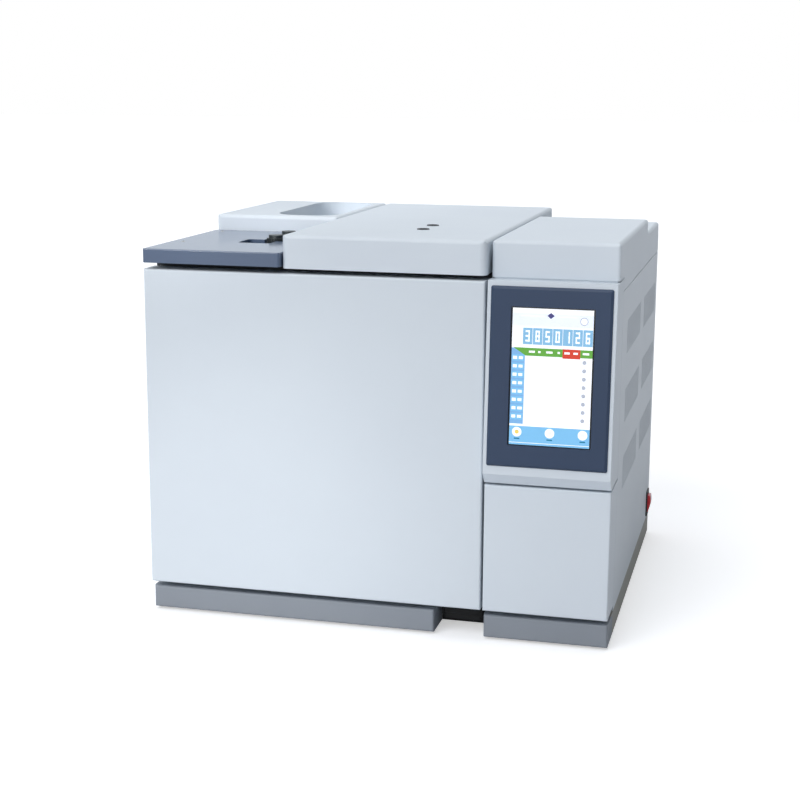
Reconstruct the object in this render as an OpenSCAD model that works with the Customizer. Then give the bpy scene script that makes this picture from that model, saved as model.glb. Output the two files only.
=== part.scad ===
// Bench gas chromatograph. A column oven with a hinged door fills the left of the
// cabinet, a control column with a touch screen the right. Injection ports and
// detectors stand on the oven, under the covers on top.
//
// The modules work in cabinet coordinates: x from the left side, y back from the
// face of the oven door, z up from the bench. centred() moves the result so that
// the origin lies on the bench, under the middle of the outline.

/* [Cabinet] */
// Width over the side panels
body_w = 600; // [580:1:650]
// Depth from the face of the oven door to the back of the rear panel
body_d = 540; // [530:1:600]
// Height from the bench to the top of the covers
body_h = 503; // [490:1:540]
// Width of the control column at the right
column_w = 156; // [154:1:170]
// Thickness of the steel sheet
sheet_t = 1.5; // [1:0.1:2]
// Thickness of the moulded covers
cover_t = 2.5; // [2:0.1:3]
// Gap between neighbouring outer pieces
seam = 3; // [2:0.5:4]
// Radius of the rounded edges of the covers
edge_r = 5; // [3:0.5:7]

/* [Base] */
// How far the feet hold the plinth above the bench
foot_drop = 3; // [2:0.5:6]
// Radius of a foot
foot_r = 14; // [10:1:16]
// Distance of the feet from the sides
foot_inset = 22; // [20:1:40]
// Height of the plinth
plinth_h = 30; // [28:1:36]
// How far the plinth sits behind the face of the oven door
plinth_back = 9; // [5:1:14]
// Depth of the plinth mouldings
plinth_d = 51; // [40:1:60]
// Width of the finger recess below the oven door
recess_w = 64; // [56:1:80]
// Width of the base pan's inward lips
lip_w = 46; // [40:1:56]

/* [Oven door] */
// Gap between the plinth and the door
door_lift = 8; // [6:0.5:12]
// Depth of the door's outer panel
door_t = 36; // [32:1:40]
// Thickness of the door's sheet
door_sheet = 1.2; // [1:0.1:1.5]
// Gap between the door's panel and the front frame
door_gap = 8; // [7:0.5:10]
// Reach of the door's plug into the oven
plug_in = 6; // [3:0.5:10]
// Gap between the plug and the oven's mouth
plug_gap = 4; // [3:0.5:6]
// Width of the door gasket
gasket_w = 9; // [7:0.5:12]
// Radius of the door's hinge pins
hinge_r = 3; // [2.5:0.1:4]
// Distance of the hinge pins from the door's left edge
hinge_x = 7.5; // [7:0.1:9]
// Height of the hinge brackets above the door's lower edge and below its upper one
hinge_in = 19; // [15:1:40]

/* [Oven] */
// Thickness of the insulation
wool_t = 44; // [36:1:50]
// Depth of the oven's casing
oven_d = 275; // [260:1:300]
// Thickness of the casing and of the liner
liner_t = 1; // [0.8:0.1:1.5]
// Gap between the casing and the cabinet's walls
oven_gap = 6; // [4:0.5:10]
// Space above the oven for the heated blocks
block_h = 25; // [22:1:28]
// Radius of the oven fan
fan_r = 68; // [55:1:75]
// Number of fan blades
blades = 12; // [8:1:16]
// Depth of the fan space behind the shroud
fan_space = 58; // [52:1:66]
// Radius of the fan's shaft
shaft_r = 4; // [3:0.1:5]
// Radius of the fan motor
motor_r = 42; // [35:1:50]
// Length of the fan motor
motor_l = 66; // [50:1:80]
// Width and height of the vent ducts inside
duct_w = 70; // [60:1:76]
// Radius of the column tube
tube_r = 1.6; // [1.5:0.05:1.8]
// Number of whole turns of the column
turns = 4; // [3:1:4]

/* [Top] */
// Height of the detector lid
lid_h = 42; // [38:1:50]
// Gap between the top plate and the lid
lid_seat = 3; // [2.5:0.5:4]
// Width of the inlet deck
deck_w = 182; // [176:1:186]
// Depth of the inlet deck
deck_d = 258; // [250:1:262]
// Height of the inlet deck above the top plate
deck_h = 23; // [20:0.5:26]
// Gap below the inlet deck's front
deck_gap = 5; // [3:0.5:7]
// Distance of the inlet deck's well from the left side
well_x = 90; // [84:1:94]
// Distance of the well from the door's face
well_y = 100; // [96:1:106]
// Depth of the well
well_d = 145; // [140:1:148]
// Width of the slot at the well's front
slot_across = 44; // [42:1:48]
// Depth of the slot at the well's front
slot_back = 46; // [44:1:52]
// Distance of the injection ports from the left side of the oven's mouth
port_in = 74.5; // [72.5:0.5:78.5]
// Distance of the first injection port from the door's face
port_y = 145; // [140:1:150]
// Distance of the detectors from the right side of the oven's mouth
detector_in = 60; // [50:1:70]
// Distance of the first detector from the door's face
detector_y = 124; // [120:1:130]
// Distance between two ports or two detectors
pair_gap = 55; // [50:1:60]
// Radius of the septum nuts
nut_r = 12; // [10:0.5:14]
// Radius of the holes in the lid above the detectors
vent_r = 6; // [4:0.5:8]
// Gap between the covers' rear edges and the back of the rear panel
cover_back = 14; // [12:1:20]
// Depth of the tray in the rear cover
tray_depth = 26; // [18:1:32]

/* [Control column] */
// Setback of the column's top cover
cover_front = 21; // [16:1:26]
// Depth of the high part of the column's top cover
cover_high_d = 342; // [320:1:360]
// Height of the step down behind it
cover_step = 19; // [14:1:22]
// Height of the seam at the side below the covers
seam_drop = 62; // [56:1:70]
// Depth of the fascia's returns at the side
return_d = 65; // [60:1:75]
// Height of the lower front panel
panel_h = 163; // [150:1:170]
// Reach of the screen housing in front of the door's face at its lower lip
lip_out = 12.5; // [10:0.5:16]
// Height of the lower lip
lip_h = 11; // [8:0.5:14]
// Height of the undercut below the lip
undercut_h = 14; // [10:0.5:18]
// Width of the bezel round the screen
bezel_w = 147; // [140:1:150]
// Height of the bezel
bezel_h = 219; // [205:1:222]
// Thickness of the bezel
bezel_t = 4; // [3:0.5:6]
// Width of the screen
screen_w = 101; // [90:0.1:105]
// Height of the screen
screen_h = 168; // [155:1:172]
// Distance of the screen from the bezel's lower edge
screen_up = 27; // [22:1:32]
// Distance of the screen from the bezel's left edge
screen_left = 25.5; // [24.5:0.5:32]
// Width of the cooling fan
cooler_w = 80; // [70:1:92]

/* [Louvres] */
// Width of a field of slots in the right side
field_w = 175; // [160:1:185]
// Height of a field of slots
field_h = 44; // [36:1:50]
// Distance of the lowest field from the bench
field_z = 176; // [165:1:185]
// Distance between the fields' lower edges
field_step = 88.5; // [80:0.5:92]
// Width of one slot
slot_w = 3; // [2:0.1:3.5]
// Distance between slots
slot_step = 7; // [6:0.1:8]

/* [Switch] */
// Width of the switch's frame
switch_w = 27; // [24:0.5:30]
// Height of the switch's frame
switch_h = 39; // [34:0.5:42]
// Distance of the switch's centre from the back of the cabinet
switch_back = 29; // [26:1:36]
// Distance of the switch's centre from the bench
switch_z = 56; // [54:1:64]
// Travel of the rocker in degrees
rocker_turn = 16; // [10:1:20]

/* [Fits] */
// Radial clearance of shafts and pins that turn
run = 0.05; // [0.03:0.01:0.1]
// Gap between pieces that move past each other
pass = 0.5; // [0.3:0.05:0.8]
// Gap between seated pieces
seat = 0.3; // [0.2:0.05:0.4]

/* [Hidden] */
$fn = 48;

// Heights, from the bench up
z_base = foot_drop;
z_floor = z_base + plinth_h;
z_door0 = z_floor + door_lift;
z_lid0 = body_h - lid_h;
z_plate1 = z_lid0 - lid_seat;
z_plate0 = z_plate1 - sheet_t;
z_door1 = z_plate0 - sheet_t;
z_seam = body_h - seam_drop;

// Places across the cabinet
x_col0 = body_w - column_w;
x_door1 = x_col0 - seam;
x_div0 = x_col0 + cover_t + seat;
x_div1 = x_div0 + sheet_t;
x_in = body_w - sheet_t;

// Places back from the door's face
y_frame0 = door_t + door_gap;
y_frame1 = y_frame0 + sheet_t;
y_rear0 = body_d - sheet_t;
y_cover1 = body_d - cover_back;

// Front of the control column: fascias, tilted face, bezel and glass
z_panel1 = z_door0 + panel_h;
z_house0 = z_panel1 + seam;
z_lip0 = z_house0 + undercut_h;
z_lip1 = z_lip0 + lip_h;
z_house1 = z_plate0;
face_top_y = 2;
tilt = atan((lip_out + face_top_y) / (z_house1 - z_lip1));
bezel_x = [(column_w - bezel_w) / 2, (column_w + bezel_w) / 2];
glass_x = [bezel_x[0] + screen_left, bezel_x[0] + screen_left + screen_w];
glass_y = [screen_up, screen_up + screen_h];
glass_t = 1.8;
ledge = 3;

// Oven casing, insulation and liner: outer faces, low and high
shell_x = [sheet_t + oven_gap, x_div0 - oven_gap];
shell_y = [y_frame1, y_frame1 + oven_d];
shell_z = [z_floor, z_plate0 - block_h];
liner_x = [shell_x[0] + liner_t + wool_t, shell_x[1] - liner_t - wool_t];
liner_y = [y_frame1, shell_y[1] - liner_t - wool_t];
liner_z = [shell_z[0] + liner_t + wool_t, shell_z[1] - liner_t - wool_t];
mouth_x = [liner_x[0] + liner_t, liner_x[1] - liner_t];
mouth_z = [liner_z[0] + liner_t, liner_z[1] - liner_t];
mouth_r = 8;

// Oven fan and its shroud
fan_x = (liner_x[0] + liner_x[1]) / 2;
fan_z = (liner_z[0] + liner_z[1]) / 2;
liner_back = liner_y[1] - liner_t;
shroud_y = liner_back - fan_space;
shroud_side = 16;
shroud_x = [mouth_x[0] + shroud_side, mouth_x[1] - shroud_side];
shroud_z = [mouth_z[0] + shroud_side, mouth_z[1] - shroud_side];
blade_l = 26;
blade_d = 30;
hub_r = 12;
fan_y = shroud_y + 12;
coil_r = fan_r + 14;
wire_r = 3.5;
shaft_hole_r = shaft_r + 4;
motor_stand = 14;

// Vent ducts: centres of the exhaust, high at the right, and of the intake
duct_in = duct_w / 2 + 12;
exhaust_at = [mouth_x[1] - duct_in, mouth_z[1] - duct_in];
intake_at = [mouth_x[0] + duct_in, mouth_z[0] + duct_in];
flap_t = 2;
flap_rod_r = 2.5;
flap_y = body_d - 24;

// Column: a coil whose ends rise at the port and at the detector
port_x = mouth_x[0] + port_in;
detector_x = mouth_x[1] - detector_in;
coil_x = (port_x + detector_x) / 2;
coil_big_r = (detector_x - port_x) / 2;
coil_z = fan_z - 6;
coil_deg = 360 * turns + 180;
stub_z = mouth_z[1] - 14;
stub_r = 6;
peg_r = 3;
peg_deg = 22;

// Top: ports, detectors and lid
ports = [for (i = [0, 1]) [port_x, port_y + i * pair_gap]];
towers = [for (i = [0, 1]) [detector_x, detector_y + i * pair_gap]];
neck_r = 13;
// Gas lines at each port: place back from its middle, and reach to the left
port_lines = [[4, 25], [-5, 21]];
port_line_z = z_plate1 + 7;
line_r = 1.6;
block_w = 46;
x_lid0 = deck_w + 1;
x_lid1 = x_door1;
lid_front = 4;
pivot_y = y_cover1 - 8;
pivot_z = z_lid0 + 9;
pivot_r = 3;
ear_w = 12;
ear_inset = 46;
cheek_t = 3;
deck_front = -2;
z_deck1 = z_plate1 + deck_h;
deck_bosses = [[17, 93], [17, deck_d - 20], [well_x - 12, well_y], [deck_w / 2, well_y - 20]];
rear_cover_x = [0.5, deck_w - 1];
rear_cover_y = [deck_d + 2, y_cover1];
tray_x = [rear_cover_x[0] + 78, rear_cover_x[1] - 12];
tray_y = [rear_cover_y[0] + 18, rear_cover_y[1] - 9];
tray_r = 36;

// Column's top cover
x_cov0 = x_col0 + 1;
cover_high_y = cover_front + cover_high_d;
z_low = body_h - cover_step;

// Door
hinge_y = door_t - 6;
hinge_low_z = z_door0 + hinge_in;
hinge_high_z = z_door1 - hinge_in - 28;
tongue_t = 5;
pin_l = 15;
plug_x = [mouth_x[0] + plug_gap, mouth_x[1] - plug_gap];
plug_z = [mouth_z[0] + plug_gap, mouth_z[1] - plug_gap];
plug_y = y_frame0 + plug_in;
inner_x0 = hinge_x + 10;
magnet_t = 4;
magnet_zs = [z_door0 + 70, z_door1 - 70];

// Rear connectors
gas_xs = [40, 75, 110];
gas_z = z_plate0 - 40;
gas_r = 4;
gas_len = 12;
socket_at = [body_w - 70, z_floor + 210];
inlet_at = [body_w - 60, z_floor + 36];
cooler_at = [x_div1 + (x_in - x_div1) / 2, z_floor + 300];

// Louvre fields in the right side: front edge of the first, gap between the two columns
field_y = 125;
field_apart = 45;

// Openings in the rear panel
inlet_w = 27;
inlet_h = 20;
jack_w = 16;
jack_h = 14;
socket_apart = 28;
cooler_r = cooler_w / 2 - 3;
cooler_hub_r = 15;
cooler_d = 25;
guard_wire = 2;
guard_step = (cooler_r - 1) / 4;

// Ports and detectors above the top plate
tower_r = 16;
neck_h = 13;
nut_h = 17;
needle_r = 1.2;
ears = [x_lid0 + ear_inset, x_lid1 - ear_inset - ear_w];

// Vent ducts and the rods of their flaps
duct_t = 1.2;
rod_up = duct_w / 2 - 6;
rod_end = duct_w / 2 + duct_t + 9;

// Gas flow control on its shelf in the control column
shelf_y = [96, 316];
shelf_z = z_plate0 - 74;
flow_z = shelf_z + sheet_t;
flow_x = [x_div1 + 22, x_in - 26];
flow_h = 24;

// Door magnets beside the oven's mouth
magnet_x = [mouth_x[1] + 24, mouth_x[1] + 40];

// Release lever in the finger recess
lever_x = [x_col0 - recess_w + 9, x_col0 - 9];
lever_at = [door_t + 1, z_base + 23];
lever_pin_r = 2;

// Mains switch
switch_y = body_d - switch_back;
switch_body_w = switch_w - 5;
switch_body_h = switch_h - 5;
rocker_x = body_w - 2;
rocker_w = switch_body_w - 3.6;
rocker_half = switch_body_h / 2 - 3.2;
rocker_tip = 7.5;
rocker_pin_r = 1.5;

// The middle of the outline, with what stands out at the side, the front and the rear
rocker_out = rocker_x + rocker_tip * cos(rocker_turn / 2) + rocker_half * sin(rocker_turn / 2) - body_w;
bezel_bevel = bezel_t - 1;
front_out = lip_out + bezel_t * cos(tilt) - bezel_bevel * sin(tilt);
fitting_hex = 5;
mid_x = (body_w + rocker_out) / 2;
mid_y = (body_d + fitting_hex + gas_len - front_out) / 2;

// ---- Helpers ----

module centred() translate([-mid_x, -mid_y, 0]) children();

// A box from low and high bounds on each axis
module block(x, y, z) {
    translate([x[0], y[0], z[0]]) cube([x[1] - x[0], y[1] - y[0], z[1] - z[0]]);
}

// A flat rectangle from low and high bounds, with rounded corners
module plate2(x, y, r) {
    for (a = [x[0] + r, x[1] - r], b = [y[0] + r, y[1] - r]) translate([a, b]) circle(r);
    translate([x[0] + r, y[0]]) square([x[1] - x[0] - 2 * r, y[1] - y[0]]);
    translate([x[0], y[0] + r]) square([x[1] - x[0], y[1] - y[0] - 2 * r]);
}

// A rectangle with only its two upper corners rounded
module arch2(x, y, r) {
    for (a = [x[0] + r, x[1] - r]) translate([a, y[1] - r]) circle(r);
    translate([x[0] + r, y[0]]) square([x[1] - x[0] - 2 * r, y[1] - y[0]]);
    translate([x[0], y[0]]) square([x[1] - x[0], y[1] - y[0] - r]);
}

// Extrusions along z, y and x whose sketches use the cabinet's own axes
module up(z) translate([0, 0, z[0]]) linear_extrude(z[1] - z[0]) children();
module back(y) translate([0, y[1], 0]) rotate([90, 0, 0]) linear_extrude(y[1] - y[0]) children();
module across(x) {
    translate([x[0], 0, 0]) rotate([90, 0, 90]) linear_extrude(x[1] - x[0]) children();
}

// Round bars along each axis
module bar_x(r, x, y, z) translate([x[0], y, z]) rotate([0, 90, 0]) cylinder(r = r, h = x[1] - x[0]);
module bar_y(r, x, y, z) translate([x, y[0], z]) rotate([-90, 0, 0]) cylinder(r = r, h = y[1] - y[0]);
module bar_z(r, x, y, z) translate([x, y, z[0]]) cylinder(r = r, h = z[1] - z[0]);

// A box with rounded upright edges and rounded upper edges
module soft_box(x, y, z, corner, top) {
    intersection() {
        up(z) plate2(x, y, corner);
        back(y) arch2(x, z, top);
        across(x) arch2(y, z, top);
    }
}

// The same as an open shell, hollow from below
module soft_shell(x, y, z, corner, top, t) {
    difference() {
        soft_box(x, y, z, corner, top);
        translate([0, 0, -t])
            soft_box([x[0] + t, x[1] - t], [y[0] + t, y[1] - t], z, corner - t, top - t / 2);
    }
}

// A tube of straight runs through a list of points, with ball joints at the bends
module tube_run(points, r) {
    for (i = [0 : len(points) - 2]) {
        d = points[i + 1] - points[i];
        l = norm(d);
        translate(points[i]) rotate([0, acos(d[2] / l), atan2(d[1], d[0])]) cylinder(r = r, h = l);
    }
    for (i = [1 : len(points) - 2]) translate(points[i]) sphere(r);
}

// The frame of the tilted face that carries the screen: x across, y up, z outwards
module on_face() translate([x_col0, -lip_out, z_lip1]) rotate([90 - tilt, 0, 0]) children();

// A box whose front edges are rounded, and the same as a pan open at the back
module front_box(x, y, z, r) {
    intersection() {
        up(z) plate2(x, [y[0], y[1] + 2 * r], r);
        across(x) plate2([y[0], y[1] + 2 * r], z, r);
        block(x, y, z);
    }
}
module front_pan(x, y, z, r, t) {
    difference() {
        front_box(x, y, z, r);
        front_box([x[0] + t, x[1] - t], [y[0] + t, y[1] + 1], [z[0] + t, z[1] - t], max(r - t, 0.5));
    }
}

// ---- Base ----

module base_pan() color("dimgray") centred() {
    y0 = plinth_back + plinth_d;
    inner_x = [sheet_t, body_w - sheet_t];
    inner_y = [y0 + sheet_t, body_d - sheet_t];
    difference() {
        union() {
            block([0, body_w], [y0, body_d], [z_base, z_floor]);
            block([0, x_col0 - recess_w], [y_frame0, y0 + 1], [z_floor - sheet_t, z_floor]);
            block([x_col0, body_w], [y_frame0, y0 + 1], [z_floor - sheet_t, z_floor]);
        }
        block(inner_x, inner_y, [z_base + sheet_t, z_floor - sheet_t]);
        block([lip_w, body_w - lip_w], [y0 + lip_w, body_d - lip_w], [z_base - 1, z_floor - sheet_t]);
    }
}

module feet() color("black") centred() {
    y0 = plinth_back + plinth_d;
    for (x = [foot_inset, body_w - foot_inset], y = [y0 + foot_inset, body_d - foot_inset])
        bar_z(foot_r, x, y, [0, z_base]);
}

module plinth(x) {
    y1 = plinth_back + plinth_d - seat;
    difference() {
        front_pan(x, [plinth_back, y1], [z_base, z_floor], 3, cover_t);
        block([x[0] + cover_t, x[1] - cover_t], [plinth_back + cover_t, y1 + 1],
              [z_base - 1, z_floor - cover_t]);
        block([x[0] - 1, x[1] + 1], [y_frame0 - seat, y1 + 1], [z_floor - sheet_t - seat, z_floor + 1]);
    }
}

module front_plinths() color("slategray") centred() {
    plinth([0, x_col0 - recess_w]);
    plinth([x_col0, body_w]);
}

// ---- Cabinet walls ----

module front_frame() color("#2A2D31") centred() {
    window_x = [x_div1 + 14, body_w - 20];
    back([y_frame0, y_frame1]) difference() {
        translate([0, z_floor]) square([body_w - cover_t - seat, z_plate0 - z_floor]);
        plate2(mouth_x, mouth_z, mouth_r);
        plate2(window_x, [z_floor + 24, z_panel1 - 12], 6);
        plate2(window_x, [z_panel1 + 12, z_plate0 - 24], 6);
    }
}

module left_side_panel() color("gainsboro") centred()
    block([0, sheet_t], [y_frame1, body_d], [z_floor, z_plate0]);

// One upright slot with round ends, in the plane of a wall
module slot2(at, w, h) {
    translate([at[0] - w / 2, at[1] + w / 2]) square([w, h - w]);
    for (z = [at[1] + w / 2, at[1] + h - w / 2]) translate([at[0], z]) circle(w / 2);
}

module louvres() {
    count = floor((field_w - slot_w) / slot_step);
    for (y0 = [field_y, field_y + field_w + field_apart], row = [0, 1, 2], i = [0 : count])
        slot2([y0 + slot_w / 2 + i * slot_step, field_z + row * field_step], slot_w, field_h);
}

module right_side_panel() color("gainsboro") centred() {
    y0 = return_d + 1;
    z1 = z_seam - 1;
    flange = 12;
    across([x_in, body_w]) difference() {
        translate([y0, z_floor]) square([body_d - y0, z1 - z_floor]);
        louvres();
        plate2([switch_y - switch_body_w / 2 - seat, switch_y + switch_body_w / 2 + seat],
               [switch_z - switch_body_h / 2 - seat, switch_z + switch_body_h / 2 + seat], 1);
    }
    block([x_in - flange, x_in + 0.5], [y0, y0 + sheet_t], [z_floor, z1]);
    block([x_in - flange, x_in + 0.5], [y0, y_rear0], [z1 - sheet_t, z1]);
}

module rear_panel() color("gainsboro") centred() {
    back([y_rear0, body_d]) difference() {
        translate([sheet_t, z_floor]) square([x_in - sheet_t, z_plate0 - z_floor]);
        for (at = [exhaust_at, intake_at])
            translate(at - [duct_w, duct_w] / 2) square(duct_w);
        for (x = gas_xs) translate([x, gas_z]) circle(gas_r + 1);
        translate(cooler_at) circle(cooler_r);
        translate(inlet_at - [inlet_w + seat, inlet_h + seat] / 2) square([inlet_w + seat, inlet_h + seat]);
        for (side = [-1, 1])
            translate(socket_at + [side * socket_apart / 2, 0] - [jack_w + seat, jack_h + seat] / 2)
                square([jack_w + seat, jack_h + seat]);
    }
}

module centre_divider() color("silver") centred() {
    across([x_div0, x_div1]) difference() {
        translate([y_frame1, z_floor]) square([y_rear0 - y_frame1, z_plate0 - z_floor]);
        for (line = gas_lines) translate([line[0], line[1]]) circle(4);
        plate2([y_rear0 - 90, y_rear0 - 50], [z_plate0 - 60, z_plate0 - 30], 6);
    }
}

module top_plate() color("#2A2D31") centred() {
    up([z_plate0, z_plate1]) difference() {
        translate([0, y_frame0]) square([x_div1, body_d - y_frame0]);
        for (p = ports) translate(p) circle(neck_r + 1.5);
        for (p = towers) translate(p) circle(tower_r + 1.5);
    }
}

// ---- Oven ----

module oven_holes(r) {
    for (p = concat(ports, towers)) bar_z(r, p[0], p[1], [mouth_z[1] - 1, shell_z[1] + 1]);
}

module duct_holes(y, gap) {
    for (at = [exhaust_at, intake_at])
        translate([at[0], 0, at[1]]) back(y) square(duct_w + 2 * duct_t + 2 * gap, center = true);
}

module oven_shell() color("silver") centred() {
    difference() {
        block(shell_x, shell_y, shell_z);
        block([shell_x[0] + liner_t, shell_x[1] - liner_t], [shell_y[0] - 1, shell_y[1] - liner_t],
              [shell_z[0] + liner_t, shell_z[1] - liner_t]);
        oven_holes(stub_r + pass);
        duct_holes([shell_y[1] - 5, shell_y[1] + 1], pass);
        bar_y(shaft_hole_r, fan_x, [shell_y[1] - 5, shell_y[1] + 1], fan_z);
    }
}

// Five boards that butt with a hairline gap
module oven_insulation() color("khaki") centred() {
    wool_x = [shell_x[0] + liner_t, shell_x[1] - liner_t];
    wool_z = [shell_z[0] + liner_t, shell_z[1] - liner_t];
    mid = [liner_x[0] + seat, liner_x[1] - seat];
    block([wool_x[0], liner_x[0]], liner_y, wool_z);
    block([liner_x[1], wool_x[1]], liner_y, wool_z);
    block(mid, liner_y, [wool_z[0], liner_z[0]]);
    difference() {
        block(mid, liner_y, [liner_z[1], wool_z[1]]);
        oven_holes(stub_r + pass);
    }
    difference() {
        block(wool_x, [liner_y[1] + seat, shell_y[1] - liner_t], wool_z);
        duct_holes([liner_y[1], shell_y[1]], pass);
        bar_y(shaft_hole_r, fan_x, [liner_y[1], shell_y[1]], fan_z);
    }
}

module oven_liner() color("lightsteelblue") centred() {
    difference() {
        block(liner_x, liner_y, liner_z);
        back([liner_y[0] - 1, liner_back]) plate2(mouth_x, mouth_z, mouth_r);
        oven_holes(stub_r + pass);
        duct_holes([liner_back - 1, liner_y[1] + 1], -duct_t);
        bar_y(shaft_hole_r, fan_x, [liner_back - 1, liner_y[1] + 1], fan_z);
    }
}

// A baffle with a ringed guard over the fan, on four posts
module fan_shroud() color("silver") centred() {
    sheet = 1.2;
    eye_r = fan_r - 8;
    ring_w = 3;
    rings = 4;
    ring_step = eye_r / rings;
    back([shroud_y, shroud_y + sheet]) {
        difference() {
            plate2(shroud_x, shroud_z, 12);
            translate([fan_x, fan_z]) circle(eye_r);
        }
        translate([fan_x, fan_z]) {
            for (i = [1 : rings - 1]) difference() {
                circle(i * ring_step);
                circle(i * ring_step - ring_w);
            }
            for (a = [0 : 45 : 135]) rotate(a) square([2 * eye_r + 2, ring_w], center = true);
        }
    }
    for (x = [shroud_x[0] + 12, shroud_x[1] - 12], z = [fan_z - 40, fan_z + 40])
        bar_y(4, x, [shroud_y + sheet / 2, liner_back], z);
}

module heater_coil() color("dimgray") centred() translate([fan_x, 0, fan_z]) {
    for (y = [fan_y + 4, fan_y + 20])
        translate([0, y, 0]) rotate([90, 0, 0]) rotate_extrude() translate([coil_r, 0]) circle(wire_r);
    for (a = [45 : 90 : 315])
        rotate([0, a, 0]) bar_y(wire_r + 1.5, coil_r, [fan_y, liner_back], 0);
}

module fan_motor() color("gray") centred() {
    y0 = shell_y[1] + motor_stand;
    difference() {
        union() {
            bar_y(motor_r, fan_x, [y0, y0 + motor_l], fan_z);
            bar_y(motor_r - 6, fan_x, [y0, y0 + motor_l + 5], fan_z);
            back([y0, y0 + 3]) translate([fan_x, fan_z])
                plate2([-motor_r - 12, motor_r + 12], [-motor_r, motor_r], 8);
            for (sx = [-1, 1], sz = [-1, 1])
                bar_y(4, fan_x + sx * (motor_r + 5), [shell_y[1], y0 + 1], fan_z + sz * (motor_r - 10));
        }
        bar_y(shaft_r + run, fan_x, [y0 - 1, y0 + motor_l - 12], fan_z);
    }
}

// ---- Column ----

module column_hanger() color("silver") centred() {
    r = coil_big_r - tube_r - peg_r - seat;
    for (side = [-1, 1]) {
        x = coil_x + side * r * sin(peg_deg);
        z = coil_z + r * cos(peg_deg);
        bar_y(peg_r, x, [detector_y - 10, shroud_y], z);
        bar_y(peg_r + 2, x, [shroud_y - 3, shroud_y], z);
    }
}

// The tube's rings: angle round the coil and centre. The first and the last are
// the upper ends of the two straight legs.
coil_step = 12;
coil_rings = concat(
    [[180, [port_x, port_y, stub_z]]],
    [for (a = [0 : coil_step : coil_deg]) [180 + a, [
        coil_x + coil_big_r * cos(180 + a),
        port_y + (detector_y - port_y) * a / coil_deg,
        coil_z + coil_big_r * sin(180 + a)]]],
    [[180 + coil_deg, [detector_x, detector_y, stub_z]]]
);
coil_sides = 8;
function ring_points(ring) = [for (j = [0 : coil_sides - 1]) let (b = 360 * j / coil_sides)
    ring[1] + tube_r * [cos(b) * cos(ring[0]), sin(b), cos(b) * sin(ring[0])]];
function ring_faces(i) = [for (j = [0 : coil_sides - 1]) let (
    a = i * coil_sides + j, b = i * coil_sides + (j + 1) % coil_sides,
    c = b + coil_sides, d = a + coil_sides) each [[a, d, c], [a, c, b]]];

module packed_column() color("lightgray") centred() {
    last = len(coil_rings) - 1;
    polyhedron(
        points = [for (ring = coil_rings) each ring_points(ring)],
        faces = concat(
            [[for (j = [0 : coil_sides - 1]) j]],
            [for (i = [0 : last - 1]) each ring_faces(i)],
            [[for (j = [coil_sides - 1 : -1 : 0]) last * coil_sides + j]]));
}

module column_nuts() color("goldenrod") centred() {
    for (p = [ports[0], towers[0]]) difference() {
        translate([p[0], p[1], stub_z - 12]) cylinder(r = stub_r + 1, h = 12, $fn = 6);
        bar_z(tube_r + seat, p[0], p[1], [stub_z - 13, stub_z + 1]);
    }
    for (p = [ports[1], towers[1]])
        translate([p[0], p[1], stub_z - 8]) cylinder(r = stub_r + 1, h = 8, $fn = 6);
}

// ---- Ports and detectors ----

module heated_block(p) {
    block([p[0] - block_w / 2, p[0] + block_w / 2], [p[1] - block_w / 2, p[1] + block_w / 2],
          [shell_z[1], z_plate0 - 1]);
    bar_z(stub_r, p[0], p[1], [stub_z, shell_z[1] + 1]);
}

module injection_ports() color("lightgray") centred() {
    for (p = ports) {
        heated_block(p);
        bar_z(neck_r, p[0], p[1], [z_plate0 - 2, z_plate1 + neck_h]);
        for (line = port_lines) bar_x(line_r, [p[0] - line[1], p[0]], p[1] + line[0], port_line_z);
    }
}

// Knurled caps with a needle guide through the middle
module septum_nuts() color("silver") centred() {
    knurls = 24;
    for (p = ports) translate([p[0], p[1], z_plate1 + neck_h]) difference() {
        union() {
            linear_extrude(nut_h - 4) difference() {
                circle(nut_r);
                for (i = [0 : knurls - 1]) rotate(i * 360 / knurls) translate([nut_r, 0]) circle(0.9);
            }
            cylinder(r = nut_r - 2.5, h = nut_h);
        }
        translate([0, 0, -1]) cylinder(r = needle_r, h = nut_h + 2);
    }
}

// Flame detectors: a body, a chimney and two side arms
module detectors() color("lightgray") centred() {
    body_top = z_plate1 + 24;
    chimney_top = z_plate1 + 37;
    for (p = towers) {
        heated_block(p);
        difference() {
            union() {
                bar_z(tower_r, p[0], p[1], [z_plate0 - 2, body_top]);
                bar_z(11, p[0], p[1], [body_top - 1, chimney_top]);
                bar_x(4, [p[0], p[0] + tower_r + 16], p[1], z_plate1 + 16);
                bar_x(5, [p[0] - tower_r - 14, p[0]], p[1], z_plate1 + 12);
            }
            bar_z(4, p[0], p[1], [chimney_top - 16, chimney_top + 1]);
        }
    }
}

// ---- Covers on top ----

// The well's outline, grown by a wall: a slot in front and a field round the ports
module well2(grow) {
    room = nut_r + 4 + grow;
    r = 6 + grow;
    plate2([well_x - grow, well_x + slot_across + grow], [well_y - grow, well_y + slot_back + grow], r);
    plate2([port_x - room, deck_w - 6 + grow], [port_y - room, well_y + well_d + grow], r);
}

module inlet_deck() color("#66708A") centred() {
    wall = 2;
    difference() {
        union() {
            soft_shell([0, deck_w], [deck_front, deck_d], [z_plate1 + deck_gap, z_deck1], 3, 1.5, cover_t);
            up([z_plate1, z_deck1 - 0.5]) well2(wall);
            for (p = deck_bosses) bar_z(5, p[0], p[1], [z_plate1, z_deck1 - 1]);
        }
        up([z_plate1 - 1, z_deck1 + 1]) well2(0);
        // Slots that let the deck drop over the ports' gas lines
        for (p = ports, line = port_lines) {
            x = [p[0] - line[1] - 2, p[0]];
            y = p[1] + line[0];
            bar_x(line_r + pass, x, y, port_line_z);
            block(x, [y - line_r - pass, y + line_r + pass], [z_plate1 - 1, port_line_z]);
        }
    }
}

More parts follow.
